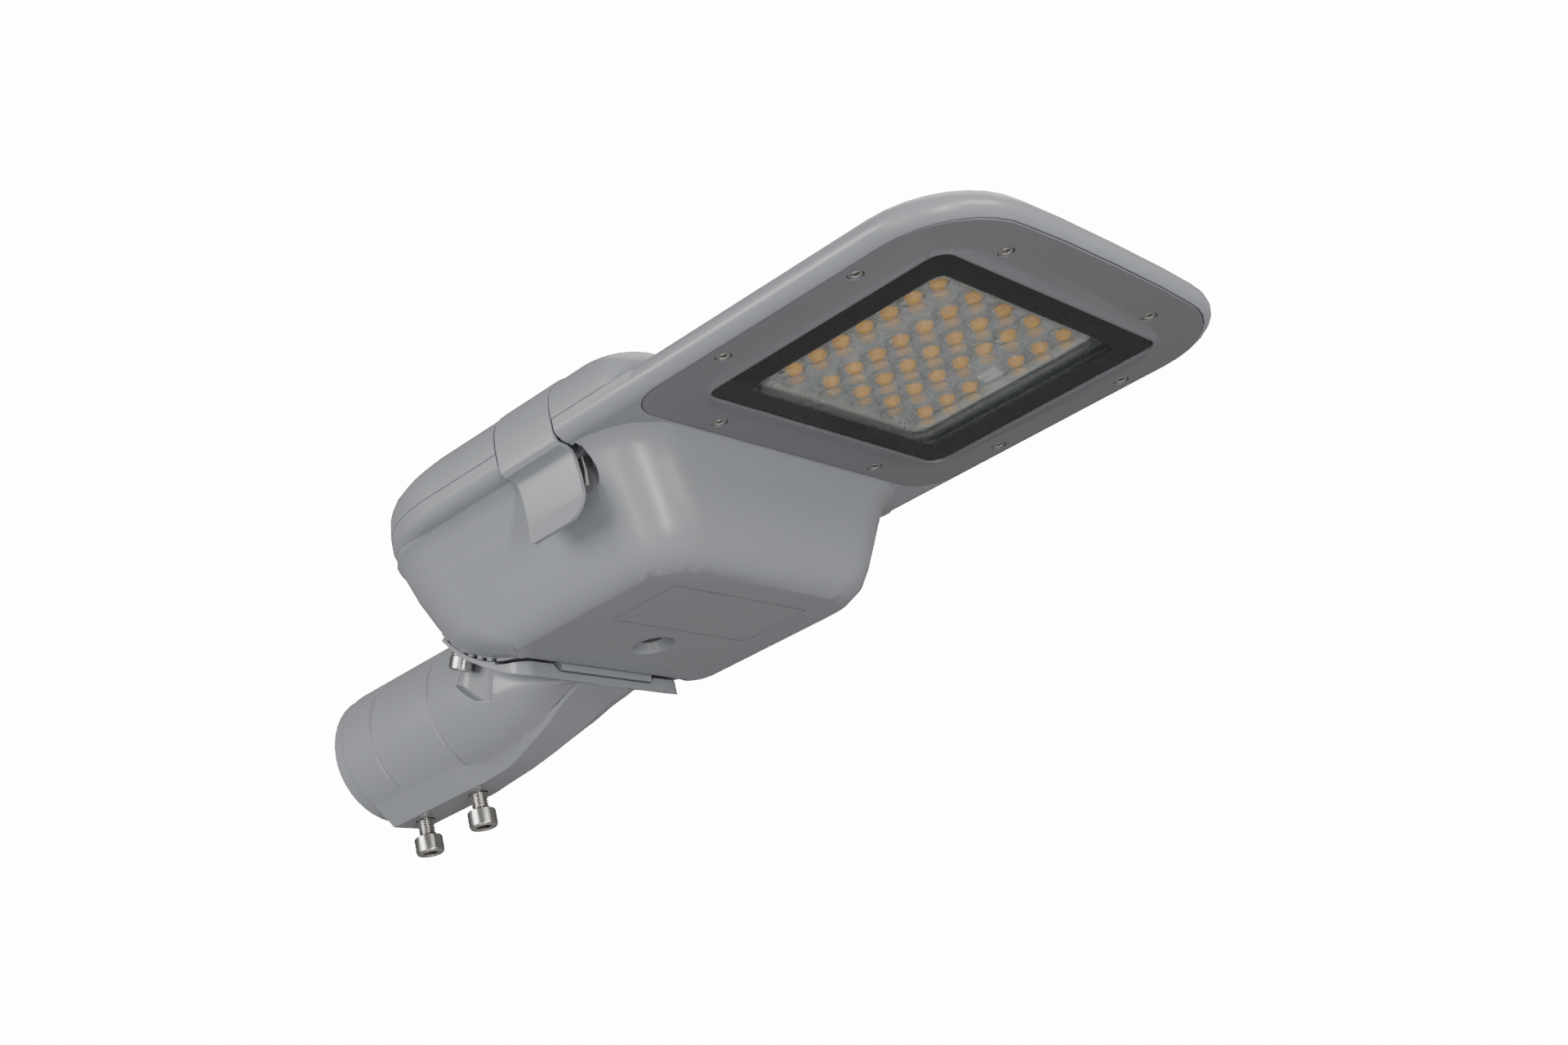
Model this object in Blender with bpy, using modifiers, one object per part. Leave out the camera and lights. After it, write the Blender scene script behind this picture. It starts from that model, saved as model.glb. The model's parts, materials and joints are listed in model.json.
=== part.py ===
"""LED road lantern head with a tilting pole spigot.

The origin is the centre of the pole socket's mouth. +X runs along the pole arm
towards the lamp's nose, +Z is up, and the lamp is symmetric about y = 0.
Every length below is in millimetres and is turned into metres when a mesh is made.
"""

import math

import bmesh
import bpy
from mathutils import Matrix, Vector

MM = 0.001
GAP = 0.3

# Driving dimensions -----------------------------------------------------------
HALF_WIDTH = 124.6
NOSE_X = 526.9
TAIL_X = 126.7
FRAME_FACE_Z = 44.6
SEAM_Z = 55.7
TRAY_TOP_Z = 59.6
BOX_FLOOR_Z = -14.2
WALL = 3.5

TUBE_RADIUS = 39.2
SOCKET_RADIUS = 31.5
SOCKET_DEPTH = 92.0
BOSS_FACE_Z = -44.1
SET_SCREW_X = (23.3, 68.5)

TILT_X = 185.8
TILT_Z = 60.0
SEAT_RADIUS = 72.7
SEAT_HALF = 60.0
RIB_RADIUS = 77.8
RIB_HALF = 33.6
TAB_RADIUS = 74.1
TILT_BOLT_Y = 43.2
TILT_BOLT_LEAN = math.radians(28)

COVER_FRONT_X = 340.6
COVER_PIN_X = (204.0, 283.0)
COVER_PIN_Y = 129.4
COVER_PIN_Z = 53.6

LATCH_SIDE = -1
LATCH_X = (249.1, 287.3)
LATCH_THICK = 2.4
LATCH_PIVOT = (109.8, 76.4)

SCREWS_AT = ((505.1, 60.8), (459.0, 109.2), (381.5, 109.2), (334.7, 60.8))
LENS_SCREWS_AT = ((445.0, 24.5), (445.0, -52.0), (373.0, 24.5), (373.0, -52.0))

CORNER_STEPS = 8


# Scene and materials ----------------------------------------------------------
def clear_scene():
    for old in list(bpy.data.objects):
        bpy.data.objects.remove(old, do_unlink=True)


def new_collection(name, hidden=False):
    made = bpy.data.collections.new(name)
    bpy.context.scene.collection.children.link(made)
    made.hide_render = hidden
    return made


def new_material(name, color, roughness, metallic=0.0):
    made = bpy.data.materials.new(name)
    made.use_nodes = True
    shader = made.node_tree.nodes["Principled BSDF"]
    shader.inputs["Base Color"].default_value = (*color, 1.0)
    shader.inputs["Roughness"].default_value = roughness
    shader.inputs["Metallic"].default_value = metallic
    return made


# Mesh helpers -----------------------------------------------------------------
def finish(name, mesh_or_bmesh, material, home, smooth_angle=35.0):
    """An object in its collection, from a mesh or a bmesh that is in millimetres."""
    if isinstance(mesh_or_bmesh, bmesh.types.BMesh):
        bmesh.ops.recalc_face_normals(mesh_or_bmesh, faces=mesh_or_bmesh.faces)
        mesh = bpy.data.meshes.new(name)
        mesh_or_bmesh.to_mesh(mesh)
        mesh_or_bmesh.free()
    else:
        mesh = mesh_or_bmesh
    mesh.transform(Matrix.Scale(MM, 4))
    if smooth_angle:
        mesh.shade_smooth()
        mesh.set_sharp_from_angle(angle=math.radians(smooth_angle))
    if material:
        mesh.materials.append(material)
    made = bpy.data.objects.new(name, mesh)
    home.objects.link(made)
    return made


def box_bmesh(low, high):
    work = bmesh.new()
    bmesh.ops.create_cube(work, size=1.0)
    size = [b - a for a, b in zip(low, high)]
    middle = [(a + b) / 2 for a, b in zip(low, high)]
    bmesh.ops.scale(work, vec=size, verts=work.verts)
    bmesh.ops.translate(work, vec=middle, verts=work.verts)
    return work


def rod_bmesh(radius, start, end, segments=24, end_radius=None):
    """A cylinder or cone between two points."""
    work = bmesh.new()
    start, end = Vector(start), Vector(end)
    along = end - start
    bmesh.ops.create_cone(
        work,
        cap_ends=True,
        segments=segments,
        radius1=radius,
        radius2=radius if end_radius is None else end_radius,
        depth=along.length,
    )
    turn = Vector((0, 0, 1)).rotation_difference(along).to_matrix().to_4x4()
    bmesh.ops.transform(work, matrix=Matrix.Translation((start + end) / 2) @ turn, verts=work.verts)
    return work


def loft_bmesh(sections):
    """A closed body through sections, each a list of the same number of points."""
    work = bmesh.new()
    rings = [[work.verts.new(point) for point in section] for section in sections]
    count = len(rings[0])
    for low, high in zip(rings, rings[1:]):
        for i in range(count):
            j = (i + 1) % count
            work.faces.new((low[i], low[j], high[j], high[i]))
    work.faces.new(rings[0])
    work.faces.new(rings[-1])
    return work


def prism_bmesh(points, low, high, axis="Z"):
    """A flat outline pushed along one axis from low to high."""
    place = {
        "X": lambda a, b, c: (c, a, b),
        "Y": lambda a, b, c: (a, c, b),
        "Z": lambda a, b, c: (a, b, c),
    }[axis]
    return loft_bmesh([[place(a, b, c) for a, b in points] for c in (low, high)])


def arc(centre, radii, start, end, steps):
    """Points on an elliptical arc, angles in degrees."""
    turns = [math.radians(start + (end - start) * i / steps) for i in range(steps + 1)]
    return [(centre[0] + radii[0] * math.cos(t), centre[1] + radii[1] * math.sin(t)) for t in turns]


def plan(front, rear, half, front_corner, rear_corner, bow=0.0, steps=CORNER_STEPS):
    """A plan outline with rounded corners, each (x radius, y radius), and a bowed front edge."""
    fx, fy = front_corner
    rx, ry = rear_corner
    points = arc((front - fx, fy - half), (fx, fy), -90, 0, steps)
    for share in (-0.5, 0.0, 0.5):
        points.append((front + bow * (1 - share * share), share * 2 * (half - fy) * 0.6))
    points += arc((front - fx, half - fy), (fx, fy), 0, 90, steps)
    points += arc((rear + rx, half - ry), (rx, ry), 90, 180, steps)
    points += arc((rear + rx, ry - half), (rx, ry), 180, 270, steps)
    return points


def at(outline, z):
    return [(x, y, z) for x, y in outline]


def seat_point(radius, degrees):
    """A point in the XZ plane, seen from the tilt axis, degrees from straight down towards the tail."""
    turn = math.radians(degrees)
    return (TILT_X - radius * math.sin(turn), TILT_Z - radius * math.cos(turn))


def sector_bmesh(inner, outer, start, end, half, steps=10, centre_y=0.0):
    """A thick arc about the tilt axis, from start to end degrees, 2 x half wide."""
    angles = [start + (end - start) * i / steps for i in range(steps + 1)]
    inside = [seat_point(inner, angle) for angle in angles]
    outside = [seat_point(outer, angle) for angle in reversed(angles)]
    return prism_bmesh(inside + outside, centre_y - half, centre_y + half, "Y")


class Builder:
    """Keeps the collections, the materials and the parts that have been made."""

    def __init__(self):
        self.parts = new_collection("road_lantern")
        self.tools = new_collection("cutters", hidden=True)
        self.count = 0
        self.paint = new_material("grey_paint", (0.37, 0.38, 0.40), 0.42)
        self.frame_paint = new_material("dark_grey_paint", (0.18, 0.18, 0.20), 0.45)
        self.steel = new_material("stainless_steel", (0.62, 0.61, 0.58), 0.28, 1.0)
        self.zinc = new_material("zinc_plate", (0.55, 0.57, 0.60), 0.4, 1.0)
        self.rubber = new_material("black_rubber", (0.03, 0.03, 0.03), 0.8)
        self.glass = new_material("glass", (0.75, 0.80, 0.80), 0.05)
        self.lens = new_material("clear_acrylic", (0.80, 0.82, 0.80), 0.12)
        self.board = new_material("white_board", (0.85, 0.85, 0.82), 0.5)
        self.plastic = new_material("white_plastic", (0.75, 0.75, 0.72), 0.5)
        self.dark_plastic = new_material("black_plastic", (0.05, 0.05, 0.05), 0.5)

    def part(self, name, work, material, smooth_angle=35.0):
        return finish(name, work, material, self.parts, smooth_angle)

    def tool(self, work):
        self.count += 1
        made = finish(f"tool_{self.count:03d}", work, None, self.tools, 0)
        made.hide_render = True
        made.display_type = "WIRE"
        return made

    def boolean(self, target, work, operation):
        change = target.modifiers.new(f"{operation.lower()}_{self.count:03d}", "BOOLEAN")
        change.operation = operation
        change.solver = "EXACT"
        change.object = self.tool(work)

    def cut(self, target, *works):
        for work in works:
            self.boolean(target, work, "DIFFERENCE")

    def join(self, target, *works):
        for work in works:
            self.boolean(target, work, "UNION")

    def keep(self, target, work):
        self.boolean(target, work, "INTERSECT")


# The housing casting ------------------------------------------------------------
def body_plan(inset=0.0, front=NOSE_X, front_corner=(48.0, 52.0), bow=1.4):
    fx = max(front_corner[0] - inset, 4)
    fy = max(front_corner[1] - inset, 4)
    return plan(
        front - inset,
        TAIL_X + inset,
        HALF_WIDTH - inset,
        (fx, fy),
        (max(68.0 - inset, 4), max(68.0 - inset, 4)),
        bow,
    )


def gear_box_sections(wall=0.0):
    """Plan outlines of the gear box from its floor to just above the rim's underside."""
    levels = [
        # z, front x, rear x, half width, front corner, rear corner
        (BOX_FLOOR_Z + wall, 294.0, 179.0, 72.0, 22.0, 12.0),
        (-11.6 + wall * 0.9, 301.0, 175.0, 78.0, 26.0, 19.0),
        (-6.0 + wall * 0.6, 307.5, 160.0, 84.5, 30.0, 25.0),
        (3.0, 311.5, 142.0, 89.5, 32.0, 33.0),
        (16.0, 314.5, 132.5, 96.0, 33.0, 44.0),
        (30.0, 317.0, 130.0, 103.5, 34.0, 44.0),
        (38.0, 319.0, 129.5, 108.0, 35.0, 45.0),
        (42.0, 321.5, 129.5, 111.5, 36.0, 47.0),
    ]
    if not wall:
        levels += [(44.4, 325.0, 129.5, 115.5, 37.0, 49.0), (47.0, 325.5, 131.0, 117.0, 37.0, 51.0)]
    sections = []
    for z, front, rear, half, front_corner, rear_corner in levels:
        corner = max(front_corner - wall, 4)
        back = max(rear_corner - wall, 4)
        outline = plan(front - wall, rear + wall, half - wall, (corner, corner), (back, back))
        sections.append(at(outline, z))
    return sections


def tray_sections():
    """The flat slab of the whole lamp: its rounded lower rim, side and rounded upper edge."""
    steps = [
        (FRAME_FACE_Z, 7.2), (45.4, 4.2), (46.8, 2.1), (48.4, 0.6), (50.4, 0.0), (53.2, 0.4),
        (55.7, 1.7), (57.7, 3.7), (59.0, 6.2), (59.4, 9.0), (TRAY_TOP_Z, 14.0),
    ]
    return [at(body_plan(inset), z) for z, inset in steps]


def teeth_bmesh():
    """The notches of the click stops along both edges of the seat."""
    teeth = bmesh.new()
    for side in (1, -1):
        for i in range(6):
            low, high = sorted((side * 55.0, side * 61.0))
            middle = 22.0 + 5.9 * i
            tooth = sector_bmesh(SEAT_RADIUS - 1.5, SEAT_RADIUS + 1.0, middle - 1.5, middle + 1.5, 3.0, 2, (low + high) / 2)
            mesh = bpy.data.meshes.new("tooth")
            tooth.to_mesh(mesh)
            tooth.free()
            teeth.from_mesh(mesh)
            bpy.data.meshes.remove(mesh)
    return teeth


def rear_rim_sections():
    """The rim under the cover, whose side runs straight up to the cover's seam."""
    steps = [(FRAME_FACE_Z + 0.05, 7.3), (46.8, 2.2), (50.4, 0.05), (SEAM_Z, 0.0)]
    sections = []
    for z, inset in steps:
        back = 68.0 - inset
        outline = plan(COVER_FRONT_X + 0.4, TAIL_X + inset, HALF_WIDTH - inset, (1.5, 1.5), (back, back))
        sections.append(at(outline, z))
    return sections


def housing(make):
    body = make.part("housing", loft_bmesh(tray_sections()), make.paint)
    make.join(body, loft_bmesh(gear_box_sections()))
    make.join(body, loft_bmesh(rear_rim_sections()))
    make.cut(body, sector_bmesh(SEAT_RADIUS - 0.2, 84.0, 3.6, 24.0, SEAT_HALF + 0.6, 6))
    make.join(body, sector_bmesh(40.0, SEAT_RADIUS, 6.5, 58.0, SEAT_HALF, 14))
    make.join(body, sector_bmesh(60.0, RIB_RADIUS, 4.6, 47.0, RIB_HALF, 14))

    make.cut(body, teeth_bmesh())

    # Room for the cover above the seam, and the gear compartment below it.
    lid_room = plan(COVER_FRONT_X + 0.7, 100.0, 150.0, (20.0, 20.0), (10.0, 10.0))
    make.cut(body, prism_bmesh(lid_room, SEAM_Z, 90.0))
    rim_opening = plan(316.0, 140.0, 98.0, (30.0, 30.0), (52.0, 46.0))
    inside = gear_box_sections(WALL)[:6]
    inside = [section for section in inside] + [at(rim_opening, 40.0), at(rim_opening, SEAM_Z + 2)]
    make.cut(body, loft_bmesh(inside))
    make.cut(body, sector_bmesh(50.0, SEAT_RADIUS - 5.0, 12.0, 50.0, SEAT_HALF - 6, 10))

    # Gasket groove around the opening.
    outer = plan(323.4, 132.8, 105.4, (34.0, 34.0), (58.0, 52.0))
    inner = plan(319.4, 136.8, 101.4, (30.0, 30.0), (54.0, 48.0))
    groove = loft_bmesh([at(outer, SEAM_Z - 2), at(outer, SEAM_Z + 1), at(inner, SEAM_Z + 1), at(inner, SEAM_Z - 2)])
    closed_loop(groove)
    make.cut(body, groove)

    # Light chamber, entered from below, with the ledge for the glass gasket.
    seam = plan(522.7, 325.9, 117.7, (43.5, 47.0), (20.3, 20.3), 1.6)
    make.cut(body, prism_bmesh(seam, 30.0, 49.0))
    make.cut(body, prism_bmesh(plan(498.0, 341.5, 101.0, (14.0, 14.0), (14.0, 14.0)), 48.0, 53.0))
    make.cut(body, prism_bmesh(plan(492.5, 347.0, 95.0, (12.0, 12.0), (12.0, 12.0)), 52.0, 58.0))
    for x, y in SCREWS_AT:
        for side in (1, -1):
            make.cut(body, rod_bmesh(2.0 + GAP, (x, side * y, 47.0), (x, side * y, 54.6), 12))

    # A raised plate with cooling fins on the tray's top.
    plate = [at(plan(506.0, 347.0, 102.0, (24.0, 24.0), (10.0, 10.0)), 58.2)]
    plate += [at(plan(503.0, 350.0, 99.0, (21.0, 21.0), (7.0, 7.0)), 62.4)]
    make.join(body, loft_bmesh(plate))
    for i in range(9):
        y = (i - 4) * 21.0
        fin = [(354.0, 61.0), (496.0, 61.0), (482.0, 70.0), (358.0, 70.0)]
        make.join(body, prism_bmesh(fin, y - 1.5, y + 1.5, "Y"))

    for x, y in LENS_SCREWS_AT:
        make.cut(body, rod_bmesh(1.3 + GAP, (x, y, 56.0), (x, y, 60.6), 10))

    latch_room(make, body)
    cover_hinge_ears(make, body)
    floor_details(make, body)

    # Tilt bolts, cable entry and the relief that the spigot's tabs slide under.
    for side in (1, -1):
        start, end = tilt_bolt_line(side)
        make.cut(body, rod_bmesh(4.0 + GAP, start, end, 16))
    entry = seat_point(60.0, 28), seat_point(90.0, 28)
    make.cut(body, rod_bmesh(8.3, (entry[0][0], 0, entry[0][1]), (entry[1][0], 0, entry[1][1]), 24))
    return body


def closed_loop(work):
    """Turns a loft of four outlines into a ring, by removing its end caps and joining first to last."""
    caps = [face for face in work.faces if len(face.verts) > 4]
    work.verts.ensure_lookup_table()
    count = len(caps[0].verts)
    bmesh.ops.delete(work, geom=caps, context="FACES_ONLY")
    work.verts.ensure_lookup_table()
    last = len(work.verts) - count
    for i in range(count):
        j = (i + 1) % count
        work.faces.new((work.verts[last + i], work.verts[last + j], work.verts[j], work.verts[i]))


def ring_bmesh(outer, inner, low, high):
    work = loft_bmesh([at(outer, low), at(outer, high), at(inner, high), at(inner, low)])
    closed_loop(work)
    return work


def latch_room(make, body):
    """The gap in the rim that the latch fills, and the finger pocket behind its lever."""
    side = LATCH_SIDE
    low, high = sorted((side * 107.0, side * 130.0))
    make.cut(body, box_bmesh((LATCH_X[0] - 0.5, low, 40.0), (LATCH_X[1] + 0.8, high, 57.0)))
    pocket = plan(291.6, 262.0, 8.0, (6.0, 4.0), (8.0, 4.0))
    pocket = [(x, y + side * 109.0) for x, y in pocket]
    make.cut(body, prism_bmesh(pocket, 19.0, 43.0))
    low, high = sorted((side * 107.0, side * 114.5))
    make.cut(body, box_bmesh((LATCH_X[0] - 0.5, low, 40.0), (291.0, high, 57.0)))


def cover_hinge_ears(make, body):
    """Two pairs of ears on the far side of the rim, with room between them for the cover's lugs."""
    for middle in COVER_PIN_X:
        for offset in (-6.4, 6.4):
            ear = arc((COVER_PIN_Y, COVER_PIN_Z), (4.4, 4.4), -70, 150, 9)
            ear += [(125.3, 55.3), (118.0, 55.3), (118.0, 47.0), (124.6, 47.0)]
            make.join(body, prism_bmesh(ear, middle + offset - 2.2, middle + offset + 2.2, "X"))
        start = (middle - 9.5, COVER_PIN_Y, COVER_PIN_Z)
        end = (middle + 9.5, COVER_PIN_Y, COVER_PIN_Z)
        make.cut(body, rod_bmesh(2.0 + GAP, start, end, 16))


def floor_details(make, body):
    """The round port with its blind seat, and the shallow label recess, in the gear box floor."""
    make.join(body, rod_bmesh(17.0, (213.8, 0, -6.0), (213.8, 0, BOX_FLOOR_Z + 1), 28, 20.0))
    make.cut(body, rod_bmesh(12.2, (213.8, 0, BOX_FLOOR_Z - 1), (213.8, 0, -8.2), 32, 8.0))
    label = plan(278.0, 234.0, 50.0, (1.5, 1.5), (1.5, 1.5), steps=2)
    inner = plan(277.4, 234.6, 49.4, (1.0, 1.0), (1.0, 1.0), steps=2)
    make.cut(body, ring_bmesh(label, inner, BOX_FLOOR_Z - 2, BOX_FLOOR_Z + 0.4))


# The cover ------------------------------------------------------------------------
def cover_sections(wall=0.0):
    levels = [
        (SEAM_Z + GAP, 0.0), (59.0, 0.0), (64.0, 0.4), (69.0, 1.8), (73.0, 4.6), (77.0, 8.8),
        (80.6, 14.6), (83.8, 23.5), (86.8, 38.0), (89.4, 58.0), (91.2, 82.0),
    ]
    sections = []
    for z, inset in levels:
        total = inset + wall
        front = COVER_FRONT_X - total * 1.2
        rear = TAIL_X + total * 1.1
        half = HALF_WIDTH - total
        corner = min(20.0 + inset * 0.4, half - 2)
        back = min(68.0 - inset * 0.1, half - 2)
        front_run = min(corner, (front - rear) * 0.42)
        back_run = min(back, (front - rear) * 0.5)
        sections.append(at(plan(front, rear, half, (front_run, corner), (back_run, back)), z - wall * 0.8))
    return sections


def cover(make):
    lid = make.part("cover", loft_bmesh(cover_sections()), make.paint)
    hollow = [at(plan(327.0, 131.5, 108.5, (34.0, 34.0), (58.0, 54.0)), SEAM_Z - 2)]
    hollow += [at(plan(327.0, 131.5, 108.5, (34.0, 34.0), (58.0, 54.0)), 58.6)]
    hollow += cover_sections(3.2)[2:]
    hollow[2] = [(x, y, 59.4) for x, y, z in hollow[2]]
    make.cut(lid, loft_bmesh(hollow))
    rib_outer = plan(322.8, 133.4, 104.8, (33.4, 33.4), (57.4, 51.4))
    rib_inner = plan(320.0, 136.2, 102.0, (30.6, 30.6), (54.6, 48.6))
    make.join(lid, ring_bmesh(rib_outer, rib_inner, SEAM_Z + GAP, 62.0))
    bridge_outer = plan(334.0, 128.0, 116.0, (30.0, 30.0), (62.0, 60.0))
    make.join(lid, ring_bmesh(bridge_outer, rib_inner, 58.8, 61.4))
    latch_seat(make, lid, LATCH_SIDE)
    for middle in COVER_PIN_X:
        lug = arc((COVER_PIN_Y, COVER_PIN_Z), (4.0, 4.0), -180, 60, 10)
        lug += [(123.9, 61.5), (122.2, 61.5), (122.2, 57.0), (125.1, 56.4)]
        make.join(lid, prism_bmesh(lug, middle - 3.8, middle + 3.8, "X"))
        start = (middle - 9.5, COVER_PIN_Y, COVER_PIN_Z)
        end = (middle + 9.5, COVER_PIN_Y, COVER_PIN_Z)
        make.cut(lid, rod_bmesh(2.0 + GAP, start, end, 16))
    return lid


def latch_seat(make, lid, side):
    """The flush recess for a latch in the cover, and the bosses that hold its pin."""
    pivot_y, pivot_z = LATCH_PIVOT
    boss_low, boss_high = LATCH_X[0] - 7.0, LATCH_X[1] + 7.0
    boss_y, boss_z = side * (pivot_y - 0.6), pivot_z - 0.8
    make.join(lid, rod_bmesh(3.7, (boss_low, boss_y, boss_z), (boss_high, boss_y, boss_z), 20))
    backing = latch_profile(side, -LATCH_THICK - 0.4)[1:6] + latch_profile(side, -LATCH_THICK - 3.4)[1:6][::-1]
    make.join(lid, prism_bmesh(backing, LATCH_X[0] - 3.0, LATCH_X[1] + 3.0, "X"))
    outer = latch_profile(side, -0.5 - LATCH_THICK)
    sweep = [math.radians(106 + 74 * i / 6) for i in range(7)]
    start = [(side * (pivot_y + 6.1 * math.cos(t)), pivot_z + 6.1 * math.sin(t)) for t in sweep]
    beyond = [(side * 160.0, outer[-1][1]), (side * 160.0, 110.0), (start[0][0], 110.0)]
    start += [(side * (pivot_y - 6.1), pivot_z - 4.5), (side * (pivot_y + 3.0), pivot_z - 5.0)]
    channel = start + outer[2:] + beyond
    make.cut(lid, prism_bmesh(channel, LATCH_X[0] - 0.5, LATCH_X[1] + 0.5, "X"))
    pin_low, pin_high = LATCH_X[0] - 5.5, LATCH_X[1] + 5.5
    make.cut(lid, rod_bmesh(1.5 + GAP, (pin_low, side * pivot_y, pivot_z), (pin_high, side * pivot_y, pivot_z), 14))


# The latches ------------------------------------------------------------------------
LATCH_OUTER = (
    (108.4, 82.0), (112.8, 79.8), (117.4, 76.4), (121.0, 72.0), (123.4, 66.5), (124.6, 58.5),
    (124.6, 48.0), (124.0, 45.2), (122.0, 43.2), (117.5, 42.6), (115.0, 41.2), (113.6, 38.0),
    (112.6, 30.0), (112.4, 20.0), (114.0, 9.5),
)


def latch_profile(side, offset=0.0):
    """The latch's outer face as (y, z) points, moved outwards by offset."""
    points = []
    for i, (y, z) in enumerate(LATCH_OUTER):
        before = LATCH_OUTER[max(i - 1, 0)]
        after = LATCH_OUTER[min(i + 1, len(LATCH_OUTER) - 1)]
        run = Vector((after[0] - before[0], after[1] - before[1])).normalized()
        points.append((side * (y - run.y * offset), z + run.x * offset))
    return points


def latch(make, side):
    outer = latch_profile(side)
    inner = latch_profile(side, -LATCH_THICK)
    low, high = LATCH_X[0] + 0.2, LATCH_X[1] - 0.2
    strip = make.part("latch", prism_bmesh(outer + inner[::-1], low, high, "X"), make.paint)
    pivot_y, pivot_z = LATCH_PIVOT
    make.join(strip, rod_bmesh(3.4, (low, side * pivot_y, pivot_z), (high, side * pivot_y, pivot_z), 20))
    side_view = arc((low + 3, 12.5), (3, 3), 180, 270, 4) + arc((high - 13, 22.5), (13, 13), 270, 360, 8)
    side_view += [(high, 90.0), (low, 90.0)]
    make.keep(strip, prism_bmesh(side_view, *sorted((side * 90.0, side * 140.0)), "Y"))
    reach = 10.0
    make.cut(strip, rod_bmesh(1.5 + GAP, (low - reach, side * pivot_y, pivot_z), (high + reach, side * pivot_y, pivot_z), 14))
    return strip


def latch_small_parts(make, side):
    pivot_y, pivot_z = LATCH_PIVOT
    low, high = LATCH_X[0] - 5.0, LATCH_X[1] + 5.0
    make.part("latch_pin", rod_bmesh(1.5, (low, side * pivot_y, pivot_z), (high, side * pivot_y, pivot_z), 14), make.steel)
    leaf = [(108.9, 39.0), (109.7, 39.0), (109.2, 32.0), (109.8, 24.0), (109.0, 24.0), (108.4, 32.0)]
    leaf = [(side * y, z) for y, z in leaf]
    make.part("latch_spring", prism_bmesh(leaf, LATCH_X[0] + 10.0, LATCH_X[1] + 1.6, "X"), make.steel)


# The light unit ---------------------------------------------------------------------
def light_unit(make):
    frame_outline = plan(522.3, 326.3, 117.3, (43.2, 46.8), (20.0, 20.0), 1.6)
    frame = make.part("light_frame", prism_bmesh(frame_outline, FRAME_FACE_Z, 48.7), make.frame_paint)
    lip = [(497.0, 347.5, 96.0, 13.0, 44.7), (494.0, 350.5, 93.0, 10.5, 43.6)]
    lip_sections = [at(plan(a, b, c, (d, d), (d, d)), z) for a, b, c, d, z in lip]
    make.join(frame, loft_bmesh(lip_sections))
    make.cut(frame, prism_bmesh(plan(492.5, 352.0, 91.4, (9.0, 9.0), (9.0, 9.0)), 40.0, 60.0))
    make.cut(frame, prism_bmesh(plan(497.0, 346.5, 97.6, (10.0, 10.0), (10.0, 10.0)), 46.3, 60.0))
    number = 0
    for side in (-1, 1):
        for x, y in SCREWS_AT:
            number += 1
            place = (x, side * y)
            make.cut(frame, rod_bmesh(4.0, (*place, 40.0), (*place, 46.4), 20))
            make.cut(frame, rod_bmesh(2.0 + GAP, (*place, 40.0), (*place, 60.0), 12))
            frame_screw(make, f"frame_screw_{number}", place)

    glass_outline = plan(496.6, 347.0, 97.2, (9.6, 9.6), (9.6, 9.6))
    make.part("glass_cover", prism_bmesh(glass_outline, 46.6, 50.4), make.glass)
    seal_inner = plan(493.2, 351.0, 93.2, (8.0, 8.0), (8.0, 8.0))
    make.part("glass_gasket", ring_bmesh(glass_outline, seal_inner, 50.7, 52.7), make.rubber)

    board = make.part("led_board", prism_bmesh(plan(478.0, 358.0, 70.0, (4, 4), (4, 4)), 56.1, 57.7), make.board)
    lens_outline = plan(475.0, 361.0, 66.0, (9.0, 9.0), (9.0, 9.0))
    lens_inner = plan(470.0, 366.0, 61.0, (6.0, 6.0), (6.0, 6.0))
    lens = make.part("lens_plate", prism_bmesh(lens_outline, 51.0, 55.8), make.lens)
    make.cut(lens, prism_bmesh(lens_inner, 50.0, 53.2))
    number = 0
    for x, y in LENS_SCREWS_AT:
        number += 1
        make.cut(board, rod_bmesh(1.3 + GAP, (x, y, 50.0), (x, y, 60.0), 10))
        make.cut(lens, rod_bmesh(1.3 + GAP, (x, y, 50.0), (x, y, 60.0), 10))
        screw = make.part(f"lens_screw_{number}", rod_bmesh(2.4, (x, y, 51.7), (x, y, 52.9), 14, 2.6), make.steel)
        make.join(screw, rod_bmesh(1.3, (x, y, 52.5), (x, y, 60.0), 10))


def frame_screw(make, name, place):
    screw = make.part(name, rod_bmesh(3.6, (*place, 45.0), (*place, 46.1), 18), make.steel)
    make.join(screw, rod_bmesh(2.0, (*place, 45.6), (*place, 54.2), 12))
    make.cut(screw, rod_bmesh(1.5, (*place, 40.0), (*place, 46.6), 6))


# The spigot -------------------------------------------------------------------------
def tilt_bolt_line(side):
    """Two points on a tilt bolt's axis: the underside of its head, and its tip."""
    down = Vector((-math.sin(TILT_BOLT_LEAN), 0, -math.cos(TILT_BOLT_LEAN)))
    seat = Vector((120.0, side * TILT_BOLT_Y, 12.6))
    return seat, seat - down * 26.0


def arm_section(x, half, low, middle, top, edge, steps=10):
    """A section across the arm: a round lower half, then sides that rise to the edge's half width."""
    quarter = [math.radians(90 * i / steps) for i in range(steps + 1)]
    rising = [(half + (edge - half) * (1 - math.cos(t)), middle + (top - middle) * math.sin(t)) for t in quarter]
    falling = [(-y, z) for y, z in reversed(rising)]
    under = [math.radians(180 + 180 * i / (2 * steps)) for i in range(1, 2 * steps)]
    lower = [(half * math.cos(t), middle + (middle - low) * math.sin(t)) for t in under]
    return [(x, y, z) for y, z in rising + falling + lower]


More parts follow.
